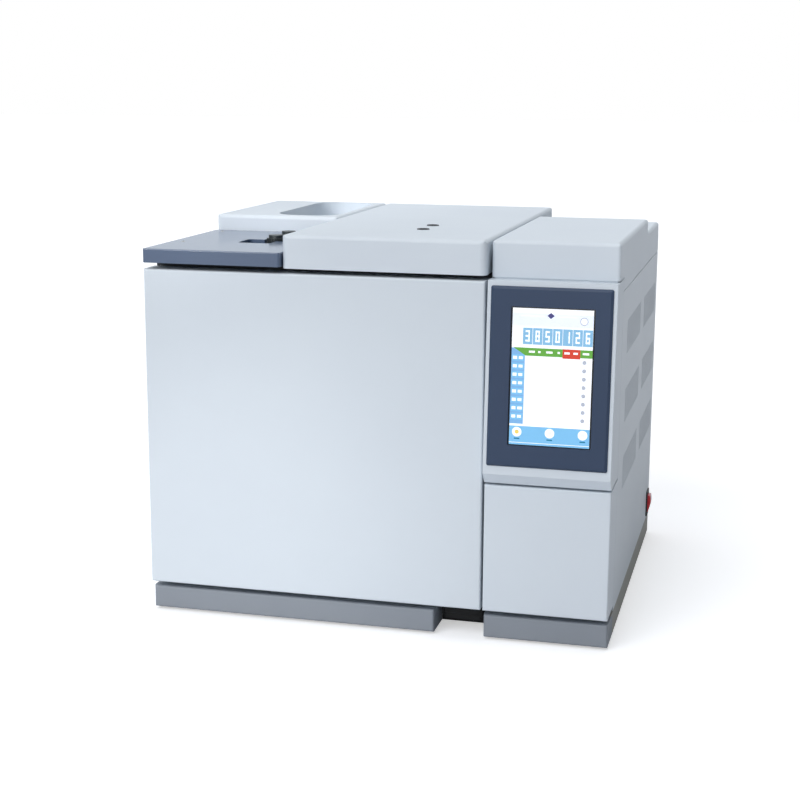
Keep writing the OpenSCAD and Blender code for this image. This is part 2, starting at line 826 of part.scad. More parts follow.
module rear_left_cover() color("whitesmoke") centred() {
    wall = 2;
    floor_z = body_h - tray_depth;
    difference() {
        union() {
            soft_shell(rear_cover_x, rear_cover_y, [z_plate1, body_h], 8, edge_r, cover_t);
            up([floor_z - wall, body_h - 0.5])
                plate2([tray_x[0] - wall, tray_x[1] + wall], [tray_y[0] - wall, tray_y[1] + wall],
                       tray_r + wall);
        }
        up([floor_z, body_h + 1]) plate2(tray_x, tray_y, tray_r);
    }
}

module lid_hinges() color("dimgray") centred() {
    for (x0 = ears) {
        outer = [x0 - pass - cheek_t, x0 + ear_w + pass + cheek_t];
        for (x = [outer[0], outer[1] - cheek_t]) across([x, x + cheek_t]) {
            translate([pivot_y, pivot_z]) circle(5);
            translate([pivot_y - 5, z_plate1]) square([10, pivot_z - z_plate1]);
        }
        block(outer, [pivot_y - 14, pivot_y + 5], [z_plate1, z_plate1 + sheet_t]);
        bar_x(pivot_r, outer, pivot_y, pivot_z);
    }
}

module lid_bumpers() color("black") centred() {
    for (x = [x_lid0 + 4, x_lid1 - 4]) bar_z(5, x, 60, [z_plate1, z_lid0 - seat]);
}

module detector_lid() color("whitesmoke") centred() {
    difference() {
        union() {
            difference() {
                soft_shell([x_lid0, x_lid1], [lid_front, y_cover1], [z_lid0, body_h], 8, edge_r, cover_t);
                block([x_lid0 - 1, x_lid1 + 1], [pivot_y - 1, y_cover1 + 1], [z_lid0 - 1, pivot_z + 4]);
            }
            for (x = ears) across([x, x + ear_w]) {
                translate([pivot_y, pivot_z]) circle(6);
                translate([pivot_y - 6, pivot_z]) square([12 - cover_t / 4, body_h - 1 - pivot_z]);
            }
        }
        for (x = ears) bar_x(pivot_r + run, [x - 1, x + ear_w + 1], pivot_y, pivot_z);
        for (p = towers) bar_z(vent_r, p[0], p[1], [body_h - 8, body_h + 1]);
    }
}

// ---- Control column ----

module column_cover() color("whitesmoke") centred() {
    t = cover_t;
    x = [x_cov0, body_w];
    inner = [x[0] + t, x[1] - t];
    difference() {
        union() {
            soft_box(x, [cover_front, cover_high_y], [z_plate1, body_h], 4, edge_r);
            soft_box(x, [cover_high_y - 20, body_d], [z_plate1, z_low], 4, edge_r);
            // Skirt above the side panel, thinner beside the rear panel's edge
            block([inner[1], body_w], [return_d + 1, y_rear0 - seat], [z_seam, z_plate1 + 8]);
            block([x_in + seat, body_w], [y_rear0 - 1, body_d], [z_seam, z_plate1 + 8]);
        }
        soft_box(inner, [cover_front + t, cover_high_y - t], [z_seam - 9, body_h - t], 2, 2);
        soft_box(inner, [cover_high_y - 24, body_d - t], [z_seam - 9, z_low - t], 2, 2);
    }
}

// Where the tilted face lies at a height
function face_y(z) = -lip_out + (z - z_lip1) * tan(tilt);

// Cuts the fascias short behind the front frame, except at the cabinet's right side
module fascia_trim(z) {
    block([x_col0 - 1, body_w - cover_t], [y_frame0 - seat, return_d + 1], [z[0] - 1, z[1] + 1]);
}

module screen_housing() color("whitesmoke") centred() {
    t = cover_t;
    difference() {
        across([x_col0, body_w]) polygon([
            [face_y(z_house1), z_house1], [return_d, z_house1], [return_d, z_house0],
            [0, z_house0], [-lip_out, z_lip0], [-lip_out, z_lip1]]);
        across([x_col0 + t, body_w - t]) polygon([
            [face_y(z_house1 - t) + t / cos(tilt), z_house1 - t], [return_d + 1, z_house1 - t],
            [return_d + 1, z_house0 + t], [t / 2, z_house0 + t], [t - lip_out, z_lip0 + t / 2],
            [t / cos(tilt) - lip_out, z_lip1]]);
        fascia_trim([z_house0, z_house1]);
        on_face() up([-3 * t, t]) plate2([glass_x[0] + ledge, glass_x[1] - ledge],
                                         [glass_y[0] + ledge, glass_y[1] - ledge], 1);
    }
}

// The section of a flat frame whose upper edges are bevelled
module bevelled2(x, t, bevel) {
    side = t - bevel;
    polygon([[x[0], 0], [x[1], 0], [x[1], side], [x[1] - bevel, t], [x[0] + bevel, t], [x[0], side]]);
}

module screen_bezel() color("#33425F") centred() on_face() {
    difference() {
        intersection() {
            up([0, bezel_t]) plate2(bezel_x, [0, bezel_h], 2.5);
            back([0, bezel_h]) bevelled2(bezel_x, bezel_t, bezel_bevel);
            across(bezel_x) bevelled2([0, bezel_h], bezel_t, bezel_bevel);
        }
        up([-1, bezel_t + 1]) plate2(glass_x, glass_y, 1.5);
    }
}

module touch_screen() color("skyblue") centred() on_face() up([0, glass_t])
    plate2([glass_x[0] + seat, glass_x[1] - seat], [glass_y[0] + seat, glass_y[1] - seat], 1.2);

// The display's metal can, its circuit board and four spacers to the housing
module display_module() color("darkslategray") centred() on_face() {
    can_d = 13;
    in = ledge + pass;
    up([-can_d, 0]) plate2([glass_x[0] + in, glass_x[1] - in], [glass_y[0] + in, glass_y[1] - in], 1);
    up([-can_d - 1.6, -can_d]) plate2([glass_x[0] - 6, glass_x[1] + 6], [glass_y[0] - 6, glass_y[1] + 6], 3);
    for (x = [glass_x[0] - 1, glass_x[1] + 1], y = [glass_y[0] - 1, glass_y[1] + 1])
        bar_z(2.5, x, y, [-can_d, -cover_t]);
}

module lower_front_panel() color("whitesmoke") centred() {
    z = [z_door0, z_panel1];
    difference() {
        front_pan([x_col0, body_w], [0, return_d], z, 2, cover_t);
        fascia_trim(z);
    }
}

// ---- Electronics ----

module main_board() color("seagreen") centred() {
    x0 = x_div1 + 8;
    y = [120, 420];
    z = [z_floor + 70, z_floor + 300];
    board_t = 1.6;
    top = x0 + board_t;
    across([x0, top]) plate2(y, z, 3);
    for (a = [y[0] + 8, y[1] - 8], b = [z[0] + 8, z[1] - 8]) bar_x(3, [x_div1, x0 + 1], a, b);
    // Processors, relays and a row of plug sockets along the lower edge
    for (i = [0 : 5]) translate([0, i * 46, 0])
        block([top, top + 12], [y[0] + 20, y[0] + 50], [z[0] + 8, z[0] + 22]);
    for (i = [0 : 3]) translate([0, i * 30, 0])
        block([top, top + 16], [y[0] + 24, y[0] + 44], [z[0] + 50, z[0] + 66]);
    block([top, top + 3], [y[0] + 60, y[0] + 90], [z[0] + 120, z[0] + 150]);
    block([top, top + 3], [y[0] + 130, y[0] + 154], [z[0] + 130, z[0] + 154]);
    for (i = [0 : 4]) bar_x(5, [top, top + 18], y[0] + 200 + i * 18, z[0] + 180);
}

module power_supply() color("silver") centred() {
    x = [x_div1 + 22, x_in - 26];
    y = [y_rear0 - 230, y_rear0 - 70];
    z = [z_floor, z_floor + 58];
    difference() {
        block(x, y, z);
        for (i = [0 : 12])
            block([x[0] + 10, x[1] - 10], [y[0] + 14 + i * 10.5, y[0] + 18 + i * 10.5], [z[1] - 4, z[1] + 1]);
    }
    // Ring transformer in front of it
    translate([(x[0] + x[1]) / 2, y[0] - 70, z_floor]) difference() {
        up([0, 46]) circle(50);
        up([6, 47]) circle(18);
    }
}

module flow_shelf() color("silver") centred() {
    block([x_div1, x_in - 14], shelf_y, [shelf_z, flow_z]);
    block([x_div1, x_div1 + sheet_t], shelf_y, [shelf_z, shelf_z + 18]);
}

// Manifold with proportional valves and pressure sensors
module flow_module() color("darkgray") centred() {
    y = [shelf_y[0] + 8, shelf_y[1] - 8];
    top = flow_z + flow_h;
    block(flow_x, y, [flow_z, top]);
    for (i = [0 : 3]) translate([0, y[0] + i * 50, 0]) {
        bar_z(9, flow_x[1] - 16, 22, [top - 1, top + 26]);
        block([flow_x[0] + 40, flow_x[0] + 58], [14, 32], [top - 1, top + 10]);
    }
}

// Reach of a heated block from its port, to the end of its gas line
block_r = block_w / 2 + seat;

// Each line: its place back and its height where it passes the divider, and the
// points from there to the heated block that it feeds
gas_lines = [
    [detector_y, z_plate0 - 13, [[detector_x + block_r, detector_y, z_plate0 - 13]]],
    [detector_y + pair_gap, z_plate0 - 9, [[detector_x + block_r, detector_y + pair_gap, z_plate0 - 9]]],
    [port_y + pair_gap + 40, z_plate0 - 13, [
        [port_x, port_y + pair_gap + 40, z_plate0 - 13],
        [port_x, port_y + pair_gap + block_r, z_plate0 - 13]]],
    [port_y + pair_gap + 52, z_plate0 - 9, [
        [port_x - block_r - 12, port_y + pair_gap + 52, z_plate0 - 9],
        [port_x - block_r - 12, port_y, z_plate0 - 9],
        [port_x - block_r, port_y, z_plate0 - 9]]],
];

module gas_tubes() color("lightgray") centred() {
    for (line = gas_lines)
        tube_run(concat(
            [[flow_x[0] + 12, line[0], flow_z + flow_h], [flow_x[0] + 12, line[0], line[1]]],
            line[2]), 1.6);
}

// ---- Rear and side fittings ----

module gas_fittings() color("goldenrod") centred() {
    hex_r = 8;
    for (x = gas_xs) {
        for (y = [y_rear0 - fitting_hex, body_d]) translate([x, y, gas_z]) rotate([-90, 0, 0])
            cylinder(r = hex_r, h = fitting_hex, $fn = 6);
        bar_y(gas_r, x, [y_rear0 - 16, body_d + fitting_hex + gas_len], gas_z);
    }
}

module mains_inlet() color("black") centred() translate([inlet_at[0], 0, inlet_at[1]]) {
    recess = [23, 16];
    depth = 17.5;
    mouth = body_d + 2.5;
    pin = [2, 4];
    difference() {
        union() {
            back([body_d, mouth]) plate2([-19, 19], [-14, 14], 4);
            back([y_rear0 - 24, body_d + 1])
                plate2([-inlet_w / 2, inlet_w / 2], [-inlet_h / 2, inlet_h / 2], 2);
        }
        back([mouth - depth, mouth + 1])
            plate2([-recess[0] / 2, recess[0] / 2], [-recess[1] / 2, recess[1] / 2], 3);
    }
    for (at = [[-7, -2], [7, -2], [0, 2]])
        back([mouth - depth - 1, mouth - 5.5]) translate(at) square(pin, center = true);
}

module data_sockets() color("dimgray") centred() {
    for (side = [-1, 1]) translate([socket_at[0] + side * socket_apart / 2, 0, socket_at[1]]) difference() {
        union() {
            back([y_rear0 - 16, body_d + 0.5]) square([jack_w, jack_h], center = true);
            back([y_rear0 - 2, y_rear0]) square([jack_w + 4, jack_h + 4], center = true);
        }
        back([body_d - 12, body_d + 1]) square([11.8, 8.2], center = true);
    }
}

module switch_frame() color("black") centred() {
    wall = 1.5;
    y = [switch_y - switch_body_w / 2, switch_y + switch_body_w / 2];
    z = [switch_z - switch_body_h / 2, switch_z + switch_body_h / 2];
    difference() {
        union() {
            across([body_w, body_w + 2]) plate2([switch_y - switch_w / 2, switch_y + switch_w / 2],
                                                [switch_z - switch_h / 2, switch_z + switch_h / 2], 2);
            block([body_w - 24, body_w + 1], y, z);
        }
        block([body_w - 14, body_w + 3], [y[0] + wall, y[1] - wall], [z[0] + wall, z[1] - wall]);
        bar_y(rocker_pin_r + run, rocker_x, [y[0] + 0.3, y[1] - 0.3], switch_z);
    }
}

module power_rocker() color("red") centred() translate([rocker_x, switch_y, switch_z]) {
    deep = 4;
    rotate([0, rocker_turn / 2, 0]) rotate([90, 0, 0]) linear_extrude(rocker_w, center = true)
        polygon([[-deep, -rocker_half + 3], [rocker_tip, -rocker_half], [rocker_tip - 2.5, 0],
                 [rocker_tip, rocker_half], [-deep, rocker_half - 3]]);
    bar_y(rocker_pin_r, 0, [-switch_body_w / 2 + 0.6, switch_body_w / 2 - 0.6], 0);
}

module cooling_fan_frame() color("black") centred() {
    y = [y_rear0 - cooler_d, y_rear0];
    translate([cooler_at[0], 0, cooler_at[1]]) {
        back(y) difference() {
            plate2([-cooler_w / 2, cooler_w / 2], [-cooler_w / 2, cooler_w / 2], 5);
            circle(cooler_r);
        }
        back([y[0], y[0] + 3]) {
            circle(cooler_hub_r);
            for (a = [0, 120, 240]) rotate(a) translate([0, -2]) square([cooler_r + 1, 4]);
        }
        // Ring guard, flush with the frame's rear face
        back([y[1] - 2, y[1]]) {
            for (i = [1 : 4]) difference() {
                circle(i * guard_step);
                circle(i * guard_step - guard_wire);
            }
            for (a = [45, 135]) rotate(a) square([2 * cooler_r + 2, guard_wire], center = true);
        }
        bar_y(2, 0, [y[0], y[0] + 16], 0);
    }
}

module cooling_rotor() color("dimgray") centred() translate([cooler_at[0], 0, cooler_at[1]]) {
    y0 = y_rear0 - cooler_d + 3.5;
    difference() {
        union() {
            bar_y(cooler_hub_r, 0, [y0, y0 + 16], 0);
            for (i = [0 : 6]) rotate([0, i * 360 / 7, 0])
                translate([cooler_hub_r - 1, y0 + 8, 0]) rotate([38, 0, 0])
                    translate([0, -0.8, -9]) cube([cooler_r - cooler_hub_r, 1.6, 18]);
        }
        bar_y(2 + run, 0, [y0 - 1, y0 + 14], 0);
    }
}

// ---- Oven vents ----

module vent_ducts() color("silver") centred() {
    for (at = [exhaust_at, intake_at]) translate([at[0], 0, at[1]]) difference() {
        back([liner_y[1], y_rear0]) difference() {
            square(duct_w + 2 * duct_t, center = true);
            square(duct_w, center = true);
        }
        bar_x(flap_rod_r + run, [-duct_w, duct_w], flap_y, rod_up);
    }
}

module vent_motors() color("gray") centred() {
    for (at = [exhaust_at, intake_at]) translate([at[0], 0, at[1]]) {
        x0 = duct_w / 2 + duct_t;
        difference() {
            bar_x(12, [x0, x0 + 22], flap_y, rod_up);
            bar_x(flap_rod_r + run, [x0 - 1, x0 + 10], flap_y, rod_up);
        }
    }
}

module vent_flap(at) translate([at[0], 0, at[1]]) {
    half = duct_w / 2 - pass;
    block([-half, half], [flap_y - flap_t / 2, flap_y + flap_t / 2], [-half, rod_up]);
    block([-half, half], [flap_y - flap_t / 2, flap_y + flap_t / 2], [rod_up, rod_up + 5]);
    bar_x(flap_rod_r, [-duct_w / 2 - duct_t, rod_end], flap_y, rod_up);
}

module exhaust_flap() color("silver") centred() vent_flap(exhaust_at);
module intake_flap() color("silver") centred() vent_flap(intake_at);

// ---- Oven fan ----

module oven_fan() color("silver") centred() translate([fan_x, 0, fan_z]) {
    disc_t = 1.5;
    y1 = fan_y + blade_d;
    difference() {
        union() {
            bar_y(fan_r, 0, [y1, y1 + disc_t], 0);
            bar_y(hub_r, 0, [fan_y + 8, y1 + disc_t + 4], 0);
            for (i = [0 : blades - 1]) rotate([0, i * 360 / blades, 0])
                translate([fan_r - blade_l, 0, -6]) rotate([0, -14, 0])
                    block([0, blade_l - 2], [fan_y, y1 + 0.5], [0, 1.2]);
        }
        bar_y(shaft_r + run, 0, [fan_y, y1 + disc_t + 5], 0);
    }
}

module fan_shaft() color("gray") centred()
    bar_y(shaft_r, fan_x, [fan_y + 4, shell_y[1] + motor_stand + motor_l - 14], fan_z);

// ---- Door ----

module door_hinges() color("dimgray") centred() {
    for (z0 = [hinge_low_z, hinge_high_z]) {
        block([hinge_x - 5, hinge_x + 5], [hinge_y - 5, y_frame0], [z0, z0 + tongue_t]);
        block([hinge_x - 5, hinge_x + 9], [y_frame0 - 2, y_frame0], [z0 - 10, z0 + tongue_t + 20]);
        bar_z(hinge_r, hinge_x, hinge_y, [z0 + 1, z0 + tongue_t + pin_l]);
    }
}

module door_panel() color("whitesmoke") centred() {
    difference() {
        front_pan([0, x_door1], [0, door_t], [z_door0, z_door1], 2.5, door_sheet);
        for (z0 = [hinge_low_z, hinge_high_z])
            block([-1, door_sheet + 1], [hinge_y - 10, door_t + 1], [z0 - 2, z0 + tongue_t + 2]);
    }
}

module door_hinge_blocks() color("gray") centred() {
    for (z0 = [hinge_low_z, hinge_high_z]) difference() {
        block([door_sheet, hinge_x + 6], [hinge_y - 7, hinge_y + 5.5],
              [z0 + tongue_t + seat, z0 + tongue_t + pin_l + 3]);
        bar_z(hinge_r + run, hinge_x, hinge_y, [z0 + tongue_t, z0 + tongue_t + pin_l + 4]);
    }
}

module door_insulation() color("khaki") centred() {
    lay = door_sheet + seat;
    front_box([inner_x0, x_door1 - lay], [lay, door_t - 2], [z_door0 + lay, z_door1 - lay], 2);
    block([plug_x[0] + liner_t, plug_x[1] - liner_t], [door_t - 3, plug_y - liner_t],
          [plug_z[0] + liner_t, plug_z[1] - liner_t]);
}

// The door's inner sheet with the dished plug that closes the oven's mouth
module door_liner() color("lightsteelblue") centred() {
    sheet_y = [door_t - 2, door_t - 1];
    dish_x = [plug_x[0] + liner_t, plug_x[1] - liner_t];
    dish_z = [plug_z[0] + liner_t, plug_z[1] - liner_t];
    difference() {
        union() {
            back(sheet_y) plate2([inner_x0, x_door1 - 3], [z_door0 + 3, z_door1 - 3], 4);
            back([door_t - 2, plug_y]) plate2(plug_x, plug_z, 6);
        }
        back([door_t - 3, plug_y - liner_t]) plate2(dish_x, dish_z, 0.5);
    }
}

module door_gasket() color("ivory") centred() {
    inner = 6;
    outer = inner + gasket_w;
    back([door_t - 1, y_frame0 - seat]) difference() {
        plate2([mouth_x[0] - outer, mouth_x[1] + outer], [mouth_z[0] - outer, mouth_z[1] + outer], 16);
        plate2([mouth_x[0] - inner, mouth_x[1] + inner], [mouth_z[0] - inner, mouth_z[1] + inner], 8);
    }
}

module door_magnets() color("black") centred() {
    for (z = magnet_zs) block(magnet_x, [y_frame0 - magnet_t, y_frame0], [z - 15, z + 15]);
}

module door_strikes() color("silver") centred() {
    for (z = magnet_zs) block(magnet_x, [door_t - 1, y_frame0 - magnet_t - seat], [z - 13, z + 13]);
}

// ---- Door release in the finger recess ----

module latch_bracket() color("dimgray") centred() {
    y1 = plinth_back + plinth_d;
    for (x = [lever_x[0] - pass - 3, lever_x[1] + pass])
        block([x, x + 3], [lever_at[0] - 5, y1], [lever_at[1] - 5, lever_at[1] + 5]);
    bar_x(lever_pin_r, [lever_x[0] - pass - 3, lever_x[1] + pass + 3], lever_at[0], lever_at[1]);
}

module release_lever() color("black") centred() {
    paddle_t = 3;
    paddle_h = 11;
    y = [lever_at[0] - paddle_t / 2, lever_at[0] + paddle_t / 2];
    difference() {
        union() {
            bar_x(4.5, lever_x, lever_at[0], lever_at[1]);
            block(lever_x, y, [lever_at[1] - paddle_h, lever_at[1]]);
            block([lever_x[0] + 12, lever_x[1] - 12], y, [lever_at[1], z_door0 - 2.5]);
        }
        bar_x(lever_pin_r + run, [lever_x[0] - 1, lever_x[1] + 1], lever_at[0], lever_at[1]);
    }
}

base_pan();
feet();
front_plinths();
front_frame();
left_side_panel();
right_side_panel();
rear_panel();
centre_divider();
top_plate();
oven_shell();
oven_insulation();
oven_liner();
fan_shroud();
heater_coil();
fan_motor();
column_hanger();
packed_column();
column_nuts();
injection_ports();
septum_nuts();
detectors();
inlet_deck();
rear_left_cover();
lid_hinges();
lid_bumpers();
column_cover();
screen_housing();
screen_bezel();
touch_screen();
display_module();
lower_front_panel();
main_board();
power_supply();
flow_shelf();
flow_module();
gas_tubes();
gas_fittings();
mains_inlet();
data_sockets();
switch_frame();
cooling_fan_frame();
vent_ducts();
vent_motors();
door_hinges();
latch_bracket();
door_magnets();
door_panel();
door_insulation();
door_liner();
door_gasket();
door_hinge_blocks();
door_strikes();
detector_lid();
oven_fan();
fan_shaft();
exhaust_flap();
intake_flap();
release_lever();
power_rocker();
cooling_rotor();
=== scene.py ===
import math

import bmesh
import bpy
from mathutils import Matrix, Vector


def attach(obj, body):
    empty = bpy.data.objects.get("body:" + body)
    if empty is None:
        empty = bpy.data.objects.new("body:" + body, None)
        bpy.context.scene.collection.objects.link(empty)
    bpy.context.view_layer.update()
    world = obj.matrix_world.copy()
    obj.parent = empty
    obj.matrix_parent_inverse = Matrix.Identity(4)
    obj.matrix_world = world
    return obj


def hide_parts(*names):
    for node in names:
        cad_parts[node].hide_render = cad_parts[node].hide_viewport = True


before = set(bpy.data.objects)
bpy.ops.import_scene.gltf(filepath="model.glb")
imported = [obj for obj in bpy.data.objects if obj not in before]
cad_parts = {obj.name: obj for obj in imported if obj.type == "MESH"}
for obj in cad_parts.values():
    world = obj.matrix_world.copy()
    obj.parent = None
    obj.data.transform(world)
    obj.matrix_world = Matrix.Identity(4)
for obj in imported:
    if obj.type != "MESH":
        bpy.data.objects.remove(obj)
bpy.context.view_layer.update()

# ---- Studio -----------------------------------------------------------------
# A seamless white table under a broad lamp from the upper left, softer ones from above
# and in front, and two far spots that lift the fronts at the left. The table shows
# white to the camera and keeps the cabinet's shadow.


def rgb(code):
    """An sRGB hex value as the linear colour that the shaders want."""
    parts = [int(code[i : i + 2], 16) / 255 for i in (1, 3, 5)]
    linear = [c / 12.92 if c <= 0.04045 else ((c + 0.055) / 1.055) ** 2.4 for c in parts]
    return (*linear, 1)


def add(tree, kind, settings=None, **inputs):
    """One node of a tree, with its settings. An input is named, as in Base_Color, or
    numbered, as in _0, and is linked to a socket or set to a value."""
    made = tree.nodes.new(kind)
    for key, value in (settings or {}).items():
        setattr(made, key, value)
    for key, value in inputs.items():
        slot = made.inputs[int(key[1:]) if key[0] == "_" else key.replace("_", " ")]
        if isinstance(value, bpy.types.NodeSocket):
            tree.links.new(value, slot)
        else:
            slot.default_value = value
    return made


def blank(name):
    """A new material and its empty node tree."""
    made = bpy.data.materials.new(name)
    made.use_nodes = True
    made.node_tree.nodes.clear()
    return made, made.node_tree


def hang_lamp(name, kind, power, source):
    """A lamp whose light comes from the direction of source."""
    lamp = bpy.data.objects.new(name, bpy.data.lights.new(name, kind))
    bpy.context.collection.objects.link(lamp)
    lamp.data.energy = power
    lamp.rotation_mode = "QUATERNION"
    lamp.rotation_quaternion = Vector(source).to_track_quat("Z", "Y")
    return lamp


eye = (0.48729, -2.06694, 0.69080)
heading, looking_down, roll = (math.radians(a) for a in (14.31, 11.31, 0.30))
camera = bpy.data.objects.new("camera", bpy.data.cameras.new("camera"))
bpy.context.collection.objects.link(camera)
camera.matrix_world = (
    Matrix.Translation(eye)
    @ Matrix.Rotation(heading, 4, "Z")
    @ Matrix.Rotation(math.pi / 2 - looking_down, 4, "X")
    @ Matrix.Rotation(roll, 4, "Z")
)
camera.data.sensor_width = 36
camera.data.lens = 69.06
camera.data.shift_x = 0.0038
camera.data.shift_y = -0.0161
camera.data.clip_start = 0.05
camera.data.clip_end = 60
bpy.context.scene.camera = camera
bpy.context.scene.view_settings.view_transform = "Standard"

for name, source, power, spread in (
    ("key_lamp", (-0.30, -0.70, 0.64), 1.30, 38),
    ("top_lamp", (-0.10, 0.25, 0.96), 1.02, 70),
    ("front_lamp", (0.05, -1.0, 0.10), 0.33, 30),
):
    hang_lamp(name, "SUN", power, source).data.angle = math.radians(spread)

for name, source, power, cone, place in (
    ("upper_lamp", (-0.44, -1.20, 0.31), 56, 12, (-0.62, -1.15, 0.85)),
    ("lower_lamp", (-0.86, -2.48, 0.19), 64, 16, (-1.05, -2.75, 0.30)),
):
    spot = hang_lamp(name, "SPOT", power, source)
    spot.location = place
    spot.data.spot_size = math.radians(cone)
    spot.data.spot_blend = 1.0
    spot.data.shadow_soft_size = 0.15

# The room: white where the camera, a gloss or a clear piece looks at it. As light it is
# weak, cool from the left and dim warm grey from the right, so the right side stays darker.
world = bpy.data.worlds.new("studio")
bpy.context.scene.world = world
world.use_nodes = True
tree = world.node_tree
tree.nodes.clear()
ray = add(tree, "ShaderNodeLightPath").outputs
seen = add(tree, "ShaderNodeMath", {"operation": "MAXIMUM"},
           _0=ray["Is Camera Ray"], _1=ray["Is Glossy Ray"])
seen = add(tree, "ShaderNodeMath", {"operation": "MAXIMUM"},
           _0=seen.outputs[0], _1=ray["Is Transmission Ray"])
toward = add(tree, "ShaderNodeSeparateXYZ",
             Vector=add(tree, "ShaderNodeTexCoord").outputs["Generated"])
rightward = add(tree, "ShaderNodeMapRange",
                Value=toward.outputs["X"], From_Min=-0.1, From_Max=0.8)
sky = add(tree, "ShaderNodeMix", {"data_type": "RGBA"},
          _0=rightward.outputs[0], A=rgb("#E2E8F0"), B=rgb("#7C7970"))
soft = add(tree, "ShaderNodeBackground", Color=sky.outputs["Result"], Strength=0.36)
tinge = add(tree, "ShaderNodeMix", {"data_type": "RGBA"},
            _0=ray["Is Glossy Ray"], A=(1, 1, 1, 1), B=rgb("#EFF7FF"))
bright = add(tree, "ShaderNodeBackground", Color=tinge.outputs["Result"], Strength=1.0)
room = add(tree, "ShaderNodeMixShader",
           _0=seen.outputs[0], _1=soft.outputs[0], _2=bright.outputs[0])
add(tree, "ShaderNodeOutputWorld", Surface=room.outputs[0])

white_table, tree = blank("white_table")
ray = add(tree, "ShaderNodeLightPath").outputs
lit = add(tree, "ShaderNodeBsdfDiffuse", Color=rgb("#E6E8EC"))
lift = add(tree, "ShaderNodeEmission", Color=(1, 1, 1, 1), Strength=0.50)
lifted = add(tree, "ShaderNodeAddShader", _0=lit.outputs[0], _1=lift.outputs[0])
top = add(tree, "ShaderNodeMixShader",
          _0=ray["Is Camera Ray"], _1=lit.outputs[0], _2=lifted.outputs[0])
add(tree, "ShaderNodeOutputMaterial", Surface=top.outputs[0])

reach = 25.0
corners = [(-reach, -reach, 0), (reach, -reach, 0), (reach, reach, 0), (-reach, reach, 0)]
mesh = bpy.data.meshes.new("table")
mesh.from_pydata(corners, [], [(0, 1, 2, 3)])
mesh.materials.append(white_table)
table = bpy.data.objects.new("table", mesh)
bpy.context.collection.objects.link(table)
table.location.z = -0.0005  # just below the feet, so that no two faces coincide

# ---- Sheet steel cabinet ----------------------------------------------------
# Folded steel panels with a pale blue-white powder coat. The coat is baked, which
# leaves a fine orange peel and a satin shine, and rounds every folded edge a little.


def dress(material, *names):
    """The material on every surface of these parts of the cabinet."""
    for part in names:
        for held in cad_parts[part].material_slots:
            held.material = material


def powder_coat(name, code, shade, shine=0.42, peel_mm=1.4, peel_deep_mm=0.03, fold_mm=0.8,
                drift_mm=167):
    """Baked powder: orange peel of about a millimetre, and a faint drift of colour."""
    made, tree = blank(name)
    where = add(tree, "ShaderNodeTexCoord").outputs["Object"]
    peel = add(tree, "ShaderNodeTexNoise",
               Vector=where, Scale=1000 / peel_mm, Detail=2.0, Roughness=0.5)
    drift = add(tree, "ShaderNodeTexNoise",
                Vector=where, Scale=1000 / drift_mm, Detail=3.0, Roughness=0.55)
    tone = add(tree, "ShaderNodeMix", {"data_type": "RGBA"},
               _0=drift.outputs["Fac"], A=rgb(code), B=rgb(shade))
    gloss = add(tree, "ShaderNodeMapRange",
                Value=drift.outputs["Fac"], To_Min=shine - 0.04, To_Max=shine + 0.05)
    fold = add(tree, "ShaderNodeBevel", {"samples": 4}, Radius=fold_mm / 1000)
    relief = add(tree, "ShaderNodeBump", Height=peel.outputs["Fac"],
                 Distance=peel_deep_mm / 1000, Strength=0.5, Normal=fold.outputs[0])
    coat = add(tree, "ShaderNodeBsdfPrincipled", Base_Color=tone.outputs["Result"],
               Roughness=gloss.outputs[0], Normal=relief.outputs[0], IOR=1.5)
    add(tree, "ShaderNodeOutputMaterial", Surface=coat.outputs[0])
    return made


dress(powder_coat("powder_coated_steel", "#DBE3EA", "#D5DDE5"),
      "left_side_panel", "right_side_panel", "rear_panel", "door_panel")

# Base pan: the chassis under the panels, in a warm grey darker than the panels.
dress(powder_coat("base_coated_steel", "#9C9B94", "#92918A", shine=0.5), "base_pan")

# Frame, top plate, lid hinges and the display's can: the same steel, coated matt charcoal.
# The charcoal is partly painted shade: it makes the gaps round the door and under the
# covers read as dark lines, as their shadow does.
dress(powder_coat("charcoal_coated_steel", "#23272E", "#1C2026", shine=0.6, peel_mm=1.0),
      "front_frame", "top_plate", "lid_hinges", "display_module")

# ---- Moulded covers ---------------------------------------------------------
# Injection-moulded ABS with a fine spark-eroded texture. The covers carry the
# cabinet's colour, the deck round the inlets and the plinth are slate.


def moulded(name, code, shade, shine=0.5, grain_mm=0.7, edge_mm=0.6, relief_mm=0.03,
            coat=0.0, flow_mm=111):
    """Moulded plastic or rubber: an even eroded grain that scatters the shine, and a slow
    change of tone where the melt has flowed. The grain is drawn coarser than the real
    one, which is too fine to show."""
    made, tree = blank(name)
    where = add(tree, "ShaderNodeTexCoord").outputs["Object"]
    grain = add(tree, "ShaderNodeTexNoise",
                Vector=where, Scale=1000 / grain_mm, Detail=3.0, Roughness=0.65)
    flow = add(tree, "ShaderNodeTexNoise", Vector=where, Scale=1000 / flow_mm, Detail=2.0)
    tone = add(tree, "ShaderNodeMix", {"data_type": "RGBA"},
               _0=flow.outputs["Fac"], A=rgb(code), B=rgb(shade))
    gloss = add(tree, "ShaderNodeMapRange",
                Value=grain.outputs["Fac"], To_Min=shine - 0.06, To_Max=shine + 0.06)
    edge = add(tree, "ShaderNodeBevel", {"samples": 4}, Radius=edge_mm / 1000)
    relief = add(tree, "ShaderNodeBump", Height=grain.outputs["Fac"],
                 Distance=relief_mm / 1000, Strength=0.5, Normal=edge.outputs[0])
    body = add(tree, "ShaderNodeBsdfPrincipled", Base_Color=tone.outputs["Result"],
               Roughness=gloss.outputs[0], Normal=relief.outputs[0], IOR=1.53,
               Coat_Weight=coat, Coat_Roughness=0.12)
    add(tree, "ShaderNodeOutputMaterial", Surface=body.outputs[0])
    return made


